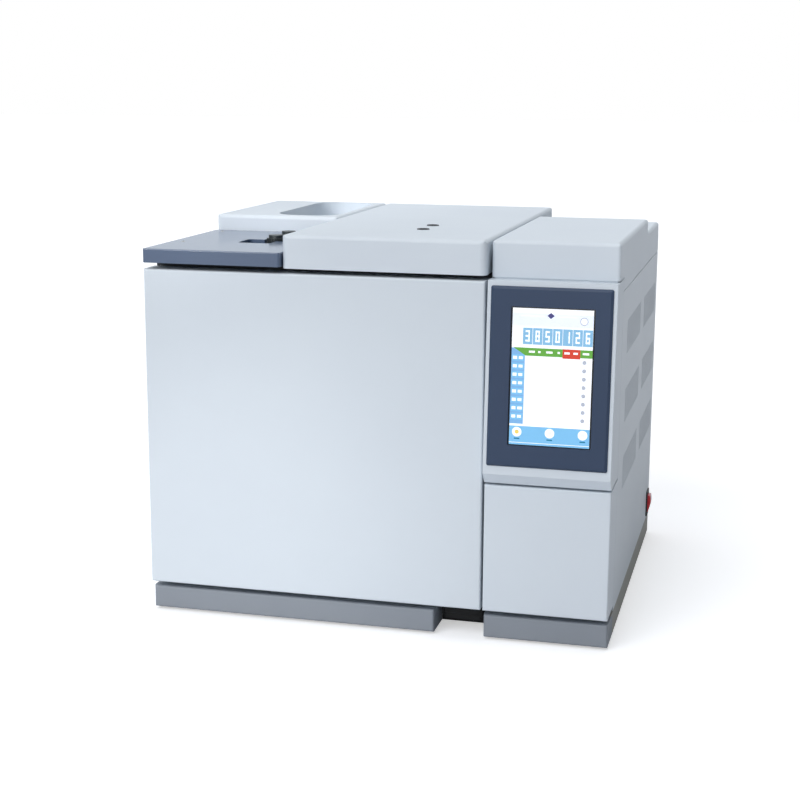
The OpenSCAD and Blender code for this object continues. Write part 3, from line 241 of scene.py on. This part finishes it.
cover_abs = moulded("cover_abs", "#DBE3EA", "#D5DDE6", shine=0.45)
dress(cover_abs, "rear_left_cover", "detector_lid", "column_cover", "screen_housing",
      "lower_front_panel")

# The deck is lacquered over the grain, so it mirrors a little. The plinths are dull.
dress(moulded("slate_abs", "#4A5D7A", "#455773", shine=0.34, coat=0.6), "inlet_deck")
dress(moulded("plinth_abs", "#8F959D", "#878D96", shine=0.55), "front_plinths")

# Bought fittings are satin black. The catch in the recess is a matt near black, darker
# than they are: painted shade for the recess, so the catch stays unseen.
dress(moulded("black_abs", "#16171A", "#1B1C20", shine=0.5),
      "mains_inlet", "data_sockets", "switch_frame", "cooling_fan_frame", "cooling_rotor")
dress(moulded("matt_black_shade_abs", "#0B0B0C", "#0E0E0F", shine=0.85),
      "release_lever", "latch_bracket")

# ---- Screen -----------------------------------------------------------------
# A navy bezel with chamfered edges round a glass touch panel. What the panel shows
# is laid before it as flat patches of light: read-outs, tabs, a list and three keys.

dress(moulded("navy_abs", "#1F3655", "#1B314E", shine=0.46, grain_mm=0.5), "screen_bezel")

# Touch panel: float glass over a dark film, polished, so it shows sharp reflections.
touch_glass, tree = blank("touch_panel_glass")
glass = add(tree, "ShaderNodeBsdfPrincipled",
            Base_Color=rgb("#0B0F16"), Roughness=0.08, IOR=1.52)
add(tree, "ShaderNodeOutputMaterial", Surface=glass.outputs[0])
dress(touch_glass, "touch_screen")

origin_x, origin_y = 303.674, 270.351


def cabinet(x, y, z):
    """A place in millimetres from the left side, the door's face and the bench."""
    return Vector(((x - origin_x) / 1000, (y - origin_y) / 1000, z / 1000))


# The housing's tilted face starts at its lower left corner. The picture's corner and
# size, and how far it lies out of the face, are measured on it in millimetres.
face_left, face_front, face_low, face_tilt = 444, -12.5, 232, math.radians(3.695)
picture_left, picture_low, picture_wide, picture_high, picture_out = 32.0, 28.4, 97.0, 165.2, 3.0


def on_screen(u, v, lift):
    """A place on the screen: u from the left and v down from the top, both 0 to 1."""
    across = picture_left + u * picture_wide
    up = picture_low + (1 - v) * picture_high
    out = picture_out + lift
    return cabinet(
        face_left + across,
        face_front + up * math.sin(face_tilt) - out * math.cos(face_tilt),
        face_low + up * math.cos(face_tilt) + out * math.sin(face_tilt),
    )


def backlit(name, code, glow, dot_mm=0.385, dim=0.93):
    """A lit patch of the display, faintly uneven from dot to dot. The dots are drawn
    coarser than real ones, which are too fine to show."""
    made, tree = blank(name)
    dimmed = (*(dim * c for c in rgb(code)[:3]), 1)
    where = add(tree, "ShaderNodeTexCoord").outputs["Object"]
    dots = add(tree, "ShaderNodeTexNoise", Vector=where, Scale=1000 / dot_mm, Detail=0.0)
    tone = add(tree, "ShaderNodeMix", {"data_type": "RGBA"},
               _0=dots.outputs["Fac"], A=rgb(code), B=dimmed)
    light = add(tree, "ShaderNodeBsdfPrincipled", Base_Color=tone.outputs["Result"],
                Roughness=0.22, IOR=1.5, Specular_IOR_Level=0.3,
                Emission_Color=tone.outputs["Result"], Emission_Strength=glow)
    add(tree, "ShaderNodeOutputMaterial", Surface=light.outputs[0])
    return made


display_inks = {
    "white": backlit("display_white", "#F6F9FD", 0.42),
    "pale": backlit("display_pale_blue", "#E4EAF6", 0.4),
    "sky": backlit("display_sky_blue", "#7FBFEA", 0.32),
    "tile": backlit("display_tile_blue", "#86B9DC", 0.32),
    "list": backlit("display_list_blue", "#7DB0E0", 0.32),
    "green": backlit("display_green", "#63A642", 0.32),
    "red": backlit("display_red", "#D2412F", 0.32),
    "teal": backlit("display_teal", "#1F7FA6", 0.25),
    "violet": backlit("display_violet", "#4B477F", 0.25),
    "grey": backlit("display_grey", "#B4BAC8", 0.3),
    "yellow": backlit("display_yellow", "#EBD06A", 0.32),
}
ink_order = list(display_inks)
display = bmesh.new()


def skin(shape, loops, smooth):
    """Walls between each loop of corners and the next."""
    walls = []
    for low, high in zip(loops, loops[1:]):
        for i in range(len(low)):
            j = (i + 1) % len(low)
            walls.append(shape.faces.new((low[i], low[j], high[j], high[i])))
            walls[-1].smooth = smooth
    return walls


def patch(ink, corners, layer):
    """A flat tile of light 0.04 mm thick. Each layer lies 0.05 mm before the last."""
    low = 0.02 + 0.05 * layer
    high = low + 0.04
    bottom = [display.verts.new(on_screen(u, v, low)) for u, v in corners]
    top = [display.verts.new(on_screen(u, v, high)) for u, v in corners]
    ends = [display.faces.new(top), display.faces.new(bottom[::-1])]
    for face in ends + skin(display, [bottom, top], smooth=False):
        face.material_index = ink_order.index(ink)


def bar(ink, u0, u1, v0, v1, layer):
    """An upright rectangle from u0 to u1 and from v0 down to v1."""
    patch(ink, [(u0, v1), (u1, v1), (u1, v0), (u0, v0)], layer)


def disc(ink, u, v, r, layer, sides=24):
    """A round spot; r is a share of the screen's width."""
    tall = picture_wide / picture_high
    angles = [2 * math.pi * i / sides for i in range(sides)]
    patch(ink, [(u + r * math.cos(a), v - r * tall * math.sin(a)) for a in angles], layer)


segments = {"0": "abcdef", "1": "bc", "2": "abged", "3": "abgcd", "5": "afgcd",
            "6": "afgedc", "8": "abcdefg"}


def digit(sign, u, v, wide, tall, layer):
    """One seven-segment figure whose upper left corner is at u, v."""
    stroke_u, stroke_v = wide * 0.30, tall * 0.16
    spans = {
        "a": (0, 1, 0, 0), "g": (0, 1, 0.5, 0.5), "d": (0, 1, 1, 1),
        "f": (0, 0, 0, 0.5), "b": (1, 1, 0, 0.5), "e": (0, 0, 0.5, 1), "c": (1, 1, 0.5, 1),
    }
    for key in segments[sign]:
        x0, x1, y0, y1 = spans[key]
        bar("white", u + x0 * (wide - stroke_u), u + x1 * (wide - stroke_u) + stroke_u,
            v + y0 * (tall - stroke_v), v + y1 * (tall - stroke_v) + stroke_v, layer)


# White ground, with a pale head that holds a diamond, two lines and a round key.
bar("white", 0, 1, 0, 1, 0)
bar("pale", 0, 1, 0.035, 0.13, 1)
patch("violet", [(0.43, 0.05), (0.475, 0.072), (0.52, 0.05), (0.475, 0.028)], 2)
for u0, u1 in ((0.10, 0.40), (0.56, 0.80)):
    bar("white", u0, u1, 0.052, 0.058, 2)
disc("grey", 0.885, 0.082, 0.050, 2)
disc("white", 0.885, 0.082, 0.040, 3)

# Read-outs: seven tiles with a white figure on each.
tile_left, tile_pitch, tile_wide = 0.135, 0.124, 0.118
for i, sign in enumerate("3850126"):
    u0 = tile_left + i * tile_pitch
    bar("tile", u0, min(u0 + tile_wide, 0.999), 0.142, 0.262, 1)
    digit(sign, u0 + 0.032, 0.160, wide=0.052, tall=0.082, layer=2)

# Tabs: a green strip with a slanted end, a red field on it, and a white bar on each.
patch("green", [(0.175, 0.345), (1, 0.345), (1, 0.287), (0.02, 0.287)], 2)
patch("red", [(0.632, 0.354), (0.850, 0.354), (0.850, 0.286), (0.632, 0.286)], 3)
for u0, u1 in ((0.215, 0.29), (0.33, 0.36), (0.43, 0.51), (0.57, 0.60), (0.655, 0.72),
               (0.765, 0.82), (0.88, 0.96)):
    bar("white", u0, u1, 0.307, 0.322, 4)

# List: eight rows with two white bars each at the left, and eight dots at the right.
bar("list", 0, 0.168, 0.290, 0.846, 1)
row_top, row_pitch = 0.350, 0.0615
for i in range(8):
    v0 = row_top + i * row_pitch
    bar("sky", 0.008, 0.160, v0 - 0.012, v0 + 0.036, 2)
    bar("white", 0.020, 0.070, v0, v0 + 0.023, 3)
    bar("white", 0.092, 0.142 if i != 6 else 0.150, v0 + 0.001, v0 + 0.022, 3)
dot_top, dot_pitch = 0.378, 0.0605
for i in range(8):
    disc("grey", 0.905, dot_top + i * dot_pitch, 0.026, 1, sides=8)

# Foot: a blue strip with three round keys and a line under each.
bar("sky", 0, 1, 0.862, 1, 1)
bar("white", 0, 1, 0.982, 0.986, 2)
for u, ink in ((0.095, "yellow"), (0.505, "pale"), (0.915, "pale")):
    disc("white", u, 0.906, 0.060, 2)
    disc(ink, u, 0.906, 0.026, 3)
    bar("teal", u - 0.035, u + 0.035, 0.950, 0.960, 2)


def piece(name, shape, *materials):
    """A finished shape as a piece of its own, with its materials."""
    mesh = bpy.data.meshes.new(name)
    shape.to_mesh(mesh)
    shape.free()
    for material in materials:
        mesh.materials.append(material)
    made = bpy.data.objects.new(name, mesh)
    bpy.context.collection.objects.link(made)
    return made


display_picture = piece("display_picture", display, *display_inks.values())
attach(display_picture, "cabinet")

# ---- Oven -------------------------------------------------------------------
# A liner and fan guard of brushed stainless sheet in a casing of galvanised steel,
# with mineral wool between them. The liner's brush marks run from side to side.


def brushed(name, code, shade, shine=0.32, line_mm=0.35, line_deep_mm=0.02,
            long_way=(0.04, 1, 1), cloud_mm=71):
    """Worked metal: fine scratches, drawn out the long way, and cloudy stains. They are
    drawn coarser than real ones, which are too fine to show."""
    made, tree = blank(name)
    where = add(tree, "ShaderNodeTexCoord").outputs["Object"]
    along = add(tree, "ShaderNodeMapping", Vector=where, Scale=long_way)
    lines = add(tree, "ShaderNodeTexNoise", Vector=along.outputs[0],
                Scale=1000 / line_mm, Detail=3.0, Roughness=0.6)
    cloud = add(tree, "ShaderNodeTexNoise", Vector=where, Scale=1000 / cloud_mm, Detail=3.0)
    tone = add(tree, "ShaderNodeMix", {"data_type": "RGBA"},
               _0=cloud.outputs["Fac"], A=rgb(code), B=rgb(shade))
    gloss = add(tree, "ShaderNodeMapRange",
                Value=lines.outputs["Fac"], To_Min=shine - 0.08, To_Max=shine + 0.12)
    relief = add(tree, "ShaderNodeBump",
                 Height=lines.outputs["Fac"], Distance=line_deep_mm / 1000, Strength=0.6)
    metal = add(tree, "ShaderNodeBsdfPrincipled", Base_Color=tone.outputs["Result"],
                Metallic=1.0, Roughness=gloss.outputs[0], Normal=relief.outputs[0])
    add(tree, "ShaderNodeOutputMaterial", Surface=metal.outputs[0])
    return made


dress(brushed("brushed_stainless", "#B9BAB8", "#A9AAA9"),
      "oven_liner", "fan_shroud", "door_liner", "oven_fan")

# Casing, ducts, divider and brackets: galvanised sheet, whose zinc crystals show as
# spangles of about 9 mm in slightly different greys.
spangle_mm, haze_mm = 9.1, 33.3
zinc_sheet, tree = blank("galvanised_sheet")
where = add(tree, "ShaderNodeTexCoord").outputs["Object"]
spangle = add(tree, "ShaderNodeTexVoronoi",
              Vector=where, Scale=1000 / spangle_mm, Randomness=1.0)
haze = add(tree, "ShaderNodeTexNoise", Vector=where, Scale=1000 / haze_mm, Detail=4.0)
tone = add(tree, "ShaderNodeMix", {"data_type": "RGBA"},
           _0=spangle.outputs["Color"], A=rgb("#A9ADAF"), B=rgb("#8E9396"))
gloss = add(tree, "ShaderNodeMapRange", Value=haze.outputs["Fac"], To_Min=0.36, To_Max=0.56)
metal = add(tree, "ShaderNodeBsdfPrincipled", Base_Color=tone.outputs["Result"],
            Metallic=1.0, Roughness=gloss.outputs[0])
add(tree, "ShaderNodeOutputMaterial", Surface=metal.outputs[0])
dress(zinc_sheet, "oven_shell", "centre_divider", "vent_ducts", "exhaust_flap", "intake_flap",
      "flow_shelf", "door_hinges", "door_hinge_blocks", "door_strikes")

# Insulation boards: mineral wool, straw coloured, with matted fibres that lie in the
# board's plane. A real fibre is finer: it is drawn as coarse as it needs to show.
fibre_mm, tuft_mm = 1.43, 0.6
wool, tree = blank("mineral_wool")
where = add(tree, "ShaderNodeTexCoord").outputs["Object"]
drawn = add(tree, "ShaderNodeMapping", Vector=where, Scale=(1.0, 0.25, 1.0))
fibre = add(tree, "ShaderNodeTexNoise", Vector=drawn.outputs[0],
            Scale=1000 / fibre_mm, Detail=6.0, Roughness=0.7, Distortion=1.5)
tone = add(tree, "ShaderNodeMix", {"data_type": "RGBA"},
           _0=fibre.outputs["Fac"], A=rgb("#A5956A"), B=rgb("#D2C59C"))
relief = add(tree, "ShaderNodeBump",
             Height=fibre.outputs["Fac"], Distance=tuft_mm / 1000, Strength=0.8)
board = add(tree, "ShaderNodeBsdfPrincipled", Base_Color=tone.outputs["Result"],
            Roughness=0.95, Normal=relief.outputs[0])
add(tree, "ShaderNodeOutputMaterial", Surface=board.outputs[0])
dress(wool, "oven_insulation", "door_insulation")

# Door gasket: a round silicone cord with a dry, slightly dusty skin.
dust_mm, dust_deep_mm = 2.38, 0.1
silicone, tree = blank("silicone_cord")
where = add(tree, "ShaderNodeTexCoord").outputs["Object"]
dust = add(tree, "ShaderNodeTexNoise", Vector=where, Scale=1000 / dust_mm, Detail=4.0)
tone = add(tree, "ShaderNodeMix", {"data_type": "RGBA"},
           _0=dust.outputs["Fac"], A=rgb("#CFCABB"), B=rgb("#DCD8CC"))
relief = add(tree, "ShaderNodeBump",
             Height=dust.outputs["Fac"], Distance=dust_deep_mm / 1000, Strength=0.5)
cord = add(tree, "ShaderNodeBsdfPrincipled", Base_Color=tone.outputs["Result"],
           Roughness=0.7, Normal=relief.outputs[0])
add(tree, "ShaderNodeOutputMaterial", Surface=cord.outputs[0])
dress(silicone, "door_gasket")

# Heater ring: a nickel alloy sheath, blued and browned by heat.
tint_mm = 28.6
sheath, tree = blank("heat_tinted_sheath")
where = add(tree, "ShaderNodeTexCoord").outputs["Object"]
tint = add(tree, "ShaderNodeTexNoise", Vector=where, Scale=1000 / tint_mm, Detail=3.0)
tone = add(tree, "ShaderNodeMix", {"data_type": "RGBA"},
           _0=tint.outputs["Fac"], A=rgb("#4C423B"), B=rgb("#5A606E"))
metal = add(tree, "ShaderNodeBsdfPrincipled",
            Base_Color=tone.outputs["Result"], Metallic=1.0, Roughness=0.5)
add(tree, "ShaderNodeOutputMaterial", Surface=metal.outputs[0])
dress(sheath, "heater_coil")

# ---- Column, ports and detectors --------------------------------------------
# Drawn stainless tube in a coil, brass nuts at its ends, and turned stainless
# bodies above the oven. Turning leaves rings round each upright axis.

# The marks run every way, in rings round an upright axis, or along a level bar.
every_way, upright_rings, level_bar = (1, 1, 1), (0.15, 0.15, 1), (1, 0.2, 1)
dress(brushed("drawn_tube", "#C2C1BC", "#ADACA8", shine=0.24, line_mm=0.8,
              long_way=every_way), "packed_column", "gas_tubes", "column_hanger", "fan_shaft")
dress(brushed("turned_stainless", "#BDBDBC", "#A6A7A8", shine=0.28, line_mm=0.5,
              long_way=upright_rings), "injection_ports", "detectors")

# Septum nuts: steel blackened in oil, which leaves a dark grey film with worn flats.
dress(brushed("blackened_steel", "#5B5F5F", "#36393A", shine=0.36, line_mm=0.5,
              long_way=upright_rings), "septum_nuts")

# Column nuts and fittings: brass, bright yellow, with the marks of the bar it came from.
dress(brushed("turned_brass", "#C9A45A", "#B58F45", shine=0.28, line_mm=0.5,
              long_way=level_bar), "column_nuts", "gas_fittings")

# Gas flow module and power supply: cast aluminium cases, dull, with a coarse skin.
dress(brushed("cast_aluminium", "#B4B7BA", "#A3A6AA", shine=0.42, line_mm=1.2,
              long_way=every_way), "flow_module", "power_supply")

# Motors: sprayed enamel, which pulls into a slightly coarser peel than powder.
dress(powder_coat("black_enamel", "#1D1E20", "#252628", shine=0.5, peel_mm=2.2),
      "fan_motor", "vent_motors")

# ---- Magnets, rubber and circuit board --------------------------------------
# Sintered ferrite magnets, dull and faintly granular, moulded rubber feet and bumpers
# with no shine, and a glass-fibre board whose copper tracks show through green lacquer.

dress(moulded("sintered_ferrite", "#26282B", "#1E2023", shine=0.6, grain_mm=0.4),
      "door_magnets")
dress(moulded("moulded_rubber", "#131313", "#191919", shine=0.78, grain_mm=0.9,
              relief_mm=0.08), "feet", "lid_bumpers")

track_pitch_mm, track_share = 6.25, 0.06
circuit, tree = blank("glass_fibre_board")
where = add(tree, "ShaderNodeTexCoord").outputs["Object"]
tracks = add(tree, "ShaderNodeTexVoronoi",
             {"distance": "MANHATTAN", "feature": "DISTANCE_TO_EDGE"},
             Vector=where, Scale=1000 / track_pitch_mm)
copper = add(tree, "ShaderNodeMath", {"operation": "LESS_THAN"},
             _0=tracks.outputs["Distance"], _1=track_share)
tone = add(tree, "ShaderNodeMix", {"data_type": "RGBA"},
           _0=copper.outputs[0], A=rgb("#155C38"), B=rgb("#2C8052"))
lacquer = add(tree, "ShaderNodeBsdfPrincipled", Base_Color=tone.outputs["Result"],
              Roughness=0.35)
add(tree, "ShaderNodeOutputMaterial", Surface=lacquer.outputs[0])
dress(circuit, "main_board")

# ---- Mains rocker -----------------------------------------------------------
# The key of the mains switch, moulded in red polycarbonate with a polished face. The
# face swells, its ends and sides are softened, and at rest one end stands further out.

# Its outline runs from the lower end over the swelling to the upper end, as distance
# out of the pivot and height. The outer sections are drawn in, which rounds the sides.
pivot_x, pivot_y, pivot_z, tilt = 598, 511, 56, math.radians(8)
half, crown, fall, steps = 13.8, 8.4, 2.6, 10
heights = [half * (i / steps - 1) for i in range(1, 2 * steps)]
swelling = [(crown - fall * (z / half) ** 2, z) for z in heights]
lower_end = [(-4.0, 3 - half), (4.4, -half), (5.2, 0.4 - half)]
upper_end = [(x, -z) for x, z in reversed(lower_end)]
sections = ((-9.2, 0.93), (-8.9, 0.975), (-8.2, 1.0), (8.2, 1.0), (8.9, 0.975), (9.2, 0.93))

shape = bmesh.new()
loops = []
for across, share in sections:
    loops.append([])
    for x, z in lower_end + swelling + upper_end:
        out = share * (x * math.cos(tilt) + z * math.sin(tilt))
        up = share * (z * math.cos(tilt) - x * math.sin(tilt))
        at = cabinet(pivot_x + out, pivot_y + across, pivot_z + up)
        loops[-1].append(shape.verts.new(at))
skin(shape, loops, smooth=True)
shape.faces.new(loops[0])
shape.faces.new(loops[-1])
bmesh.ops.recalc_face_normals(shape, faces=shape.faces)
mains_rocker = piece("mains_rocker", shape,
                     moulded("red_polycarbonate", "#EE2B36", "#D91F2B", shine=0.22,
                             grain_mm=1.2, relief_mm=0.01, coat=0.5))
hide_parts("power_rocker")
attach(mains_rocker, "power_rocker")

# ---- Lid grommets -----------------------------------------------------------
# A dark grey rubber grommet in each of the lid's two holes above the detectors: a
# rolled lip on the lid and a sleeve through it.

hole_x, hole_y, lid_top = 334.8, (124, 179), 503
sleeve = [(5.2, -4.5), (5.9, -4.5), (5.9, 0.05)]
lip = [(8.0, 0.1), (8.2, 0.5), (7.6, 1.1), (6.2, 1.2), (5.2, 0.7)]
sides = 40
shape = bmesh.new()
for y in hole_y:
    loops = []
    for radius, height in sleeve + lip:
        loops.append([])
        for i in range(sides):
            angle = 2 * math.pi * i / sides
            at = cabinet(hole_x + radius * math.cos(angle), y + radius * math.sin(angle),
                         lid_top + height)
            loops[-1].append(shape.verts.new(at))
    skin(shape, loops + loops[:1], smooth=True)
bmesh.ops.recalc_face_normals(shape, faces=shape.faces)
grommets = piece("lid_grommets", shape,
                 moulded("grey_rubber", "#3C3F43", "#474A4E", shine=0.7, grain_mm=0.9,
                         relief_mm=0.08))
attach(grommets, "detector_lid")

# ---- Strips -----------------------------------------------------------------
# A pale strip moulded with the column's cover, in the seam where it stands on the
# screen's housing. A black foam strip on the top plate closes the gap under the
# detector lid's front. A thin black sheet on the pan's front wall in the finger recess
# is painted shade: it darkens the recess as its shadow would.


def strip(name, x, y, z, soften, material):
    """A straight bar from x[0] to x[1], with its long edges softened."""
    (y0, y1), (z0, z1) = y, z
    rounded = [(y0 + soften, z0), (y0, z0 + soften), (y0, z1 - soften), (y0 + soften, z1),
               (y1 - soften, z1), (y1, z1 - soften), (y1, z0 + soften), (y1 - soften, z0)]
    shape = bmesh.new()
    ends = [[shape.verts.new(cabinet(across, *corner)) for corner in rounded] for across in x]
    skin(shape, ends, smooth=False)
    for end in ends:
        shape.faces.new(end)
    bmesh.ops.recalc_face_normals(shape, faces=shape.faces)
    made = piece(name, shape, material)
    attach(made, "cabinet")


strip("seam_strip", (448.2, 596.8), (21.6, 23.2), (456.55, 457.95), 0.3,
      cover_abs)
# Black foam for the lid's seal. The same black is the painted shade in the finger recess.
seal_foam_and_shade = moulded("seal_foam_and_shade_black", "#17181A", "#1E1F22", shine=0.9, grain_mm=0.6, relief_mm=0.2)
strip("lid_seal", (187.0, 437.0), (45.5, 51.5), (458.0, 462.5), 1.0, seal_foam_and_shade)
# A thin black sheet of painted shade on the pan's front wall, where the recess is in shadow.
strip("recess_shade_sheet", (380.4, 443.6), (59.3, 59.95), (3.1, 32.9), 0.1, seal_foam_and_shade)

# ---- Screws -----------------------------------------------------------------
# Zinc-plated pan-head screws with a cross recess, driven from outside: round the
# rear panel, on the left side, at the cooling fan, the mains inlet and the oven's
# guard, and two small ones in the deck.

screw_steel = brushed("zinc_plated_screw", "#A9A79F", "#8F8D86", shine=0.36, line_mm=0.4,
                      long_way=every_way)

# Cross recess: near black, a painted shade for the shadow in it, so it reads as a dark cross.
recess_dark, tree = blank("screw_recess")
recess_shade = add(tree, "ShaderNodeBsdfPrincipled",
           Base_Color=rgb("#1B1A18"), Metallic=0.6, Roughness=0.6)
add(tree, "ShaderNodeOutputMaterial", Surface=recess_shade.outputs[0])


def screw_tree(sides=20, flat_share=0.62, recess_wide=0.0007, recess_high=0.0004):
    """Geometry Nodes: a domed head with a cross on each point, facing its own way."""
    tree = bpy.data.node_groups.new("pan_head_screws", "GeometryNodeTree")
    face = tree.interface
    face.new_socket("Geometry", in_out="INPUT", socket_type="NodeSocketGeometry")
    for name, size in (("Head radius", 0.0035), ("Head height", 0.0018)):
        made = face.new_socket(name, in_out="INPUT", socket_type="NodeSocketFloat")
        made.default_value = size
    face.new_socket("Geometry", in_out="OUTPUT", socket_type="NodeSocketGeometry")
    points, radius, height = add(tree, "NodeGroupInput").outputs[:3]

    half = add(tree, "ShaderNodeMath", {"operation": "MULTIPLY"}, _0=height, _1=0.5)
    flat = add(tree, "ShaderNodeMath", {"operation": "MULTIPLY"}, _0=radius, _1=flat_share)
    skirt = add(tree, "GeometryNodeMeshCone", Vertices=sides, Radius_Top=radius,
                Radius_Bottom=radius, Depth=half.outputs[0])
    dome = add(tree, "GeometryNodeMeshCone", Vertices=sides, Radius_Top=flat.outputs[0],
               Radius_Bottom=radius, Depth=half.outputs[0])
    lift = add(tree, "ShaderNodeCombineXYZ", Z=half.outputs[0])
    raised = add(tree, "GeometryNodeTransform",
                 Geometry=dome.outputs["Mesh"], Translation=lift.outputs[0])
    head = add(tree, "GeometryNodeJoinGeometry")
    for part in (skirt.outputs["Mesh"], raised.outputs[0]):
        tree.links.new(part, head.inputs[0])
    steel = add(tree, "GeometryNodeSetMaterial",
                Geometry=head.outputs[0], Material=screw_steel)

    arm = add(tree, "ShaderNodeCombineXYZ", X=flat.outputs[0], Y=recess_wide, Z=recess_high)
    top = add(tree, "ShaderNodeCombineXYZ", Z=height)
    cross = add(tree, "GeometryNodeJoinGeometry")
    for turn in (0, math.pi / 2):
        blade = add(tree, "GeometryNodeMeshCube", Size=arm.outputs[0])
        laid = add(tree, "GeometryNodeTransform", Geometry=blade.outputs["Mesh"],
                   Translation=top.outputs[0], Rotation=(0, 0, turn))
        tree.links.new(laid.outputs[0], cross.inputs[0])
    dark = add(tree, "GeometryNodeSetMaterial",
               Geometry=cross.outputs[0], Material=recess_dark)
    whole = add(tree, "GeometryNodeJoinGeometry")
    for part in (steel.outputs[0], dark.outputs[0]):
        tree.links.new(part, whole.inputs[0])

    facing = add(tree, "GeometryNodeInputNamedAttribute", {"data_type": "FLOAT_VECTOR"},
                 Name="facing")
    aim = add(tree, "FunctionNodeAlignEulerToVector", {"axis": "Z"},
              Vector=facing.outputs["Attribute"])
    placed = add(tree, "GeometryNodeInstanceOnPoints", Points=points,
                 Instance=whole.outputs[0], Rotation=aim.outputs[0])
    real = add(tree, "GeometryNodeRealizeInstances", Geometry=placed.outputs[0])
    add(tree, "NodeGroupOutput", _0=real.outputs[0])
    return tree


screws = screw_tree()


def drive(name, places, radius, height):
    """Screws at cabinet places, each with the way its head faces, as one mesh. The
    head's radius and height are in millimetres."""
    mesh = bpy.data.meshes.new(name)
    mesh.from_pydata([cabinet(*at) for at, facing in places], [], [])
    held = mesh.attributes.new("facing", "FLOAT_VECTOR", "POINT")
    for i, (at, facing) in enumerate(places):
        held.data[i].vector = facing
    made = bpy.data.objects.new(name, mesh)
    bpy.context.collection.objects.link(made)
    grown = made.modifiers.new("screws", "NODES")
    grown.node_group = screws
    keys = {s.name: s.identifier for s in screws.interface.items_tree if s.in_out == "INPUT"}
    grown[keys["Head radius"]] = radius / 1000
    grown[keys["Head height"]] = height / 1000
    ready = made.evaluated_get(bpy.context.evaluated_depsgraph_get())
    plain = bpy.data.meshes.new_from_object(ready)
    made.modifiers.clear()
    made.data = plain
    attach(made, "cabinet")


rearward, leftward, frontward, upward = (0, 1, 0), (-1, 0, 0), (0, -1, 0), (0, 0, 1)

# Rear: along the top and bottom edges, the sides, the cooling fan and the mains inlet.
rear_y, inlet_y = 540.5, 543
fan_x, fan_z, fan_hole = 523.4, 333, 45
inlet_x, inlet_z, inlet_hole = 540, 69, 15.5
rear_places = [(x, rear_y, z) for x in (12, 155, 300, 440, 588) for z in (44, 448)]
rear_places += [(x, rear_y, z) for x in (12, 588) for z in (180, 316)]
rear_places += [(fan_x + a, rear_y, fan_z + b)
                for a in (-fan_hole, fan_hole) for b in (-fan_hole, fan_hole)]
rear_places += [(inlet_x + a, inlet_y, inlet_z) for a in (-inlet_hole, inlet_hole)]
side_places = [(-0.5, y, z) for y in (70, 220, 370, 520) for z in (42, 447)]
deck_places = [(17, y, 480.5) for y in (93, 238)]
guard_places = [(x, 216.2, z) for x in (81.5, 366.8) for z in (192.25, 272.25)]
drive("rear_screws", [(at, rearward) for at in rear_places], 3.2, 1.6)
drive("side_screws", [(at, leftward) for at in side_places], 3.2, 1.4)
drive("deck_screws", [(at, upward) for at in deck_places], 2.6, 0.9)
drive("guard_screws", [(at, frontward) for at in guard_places], 3.2, 1.6)
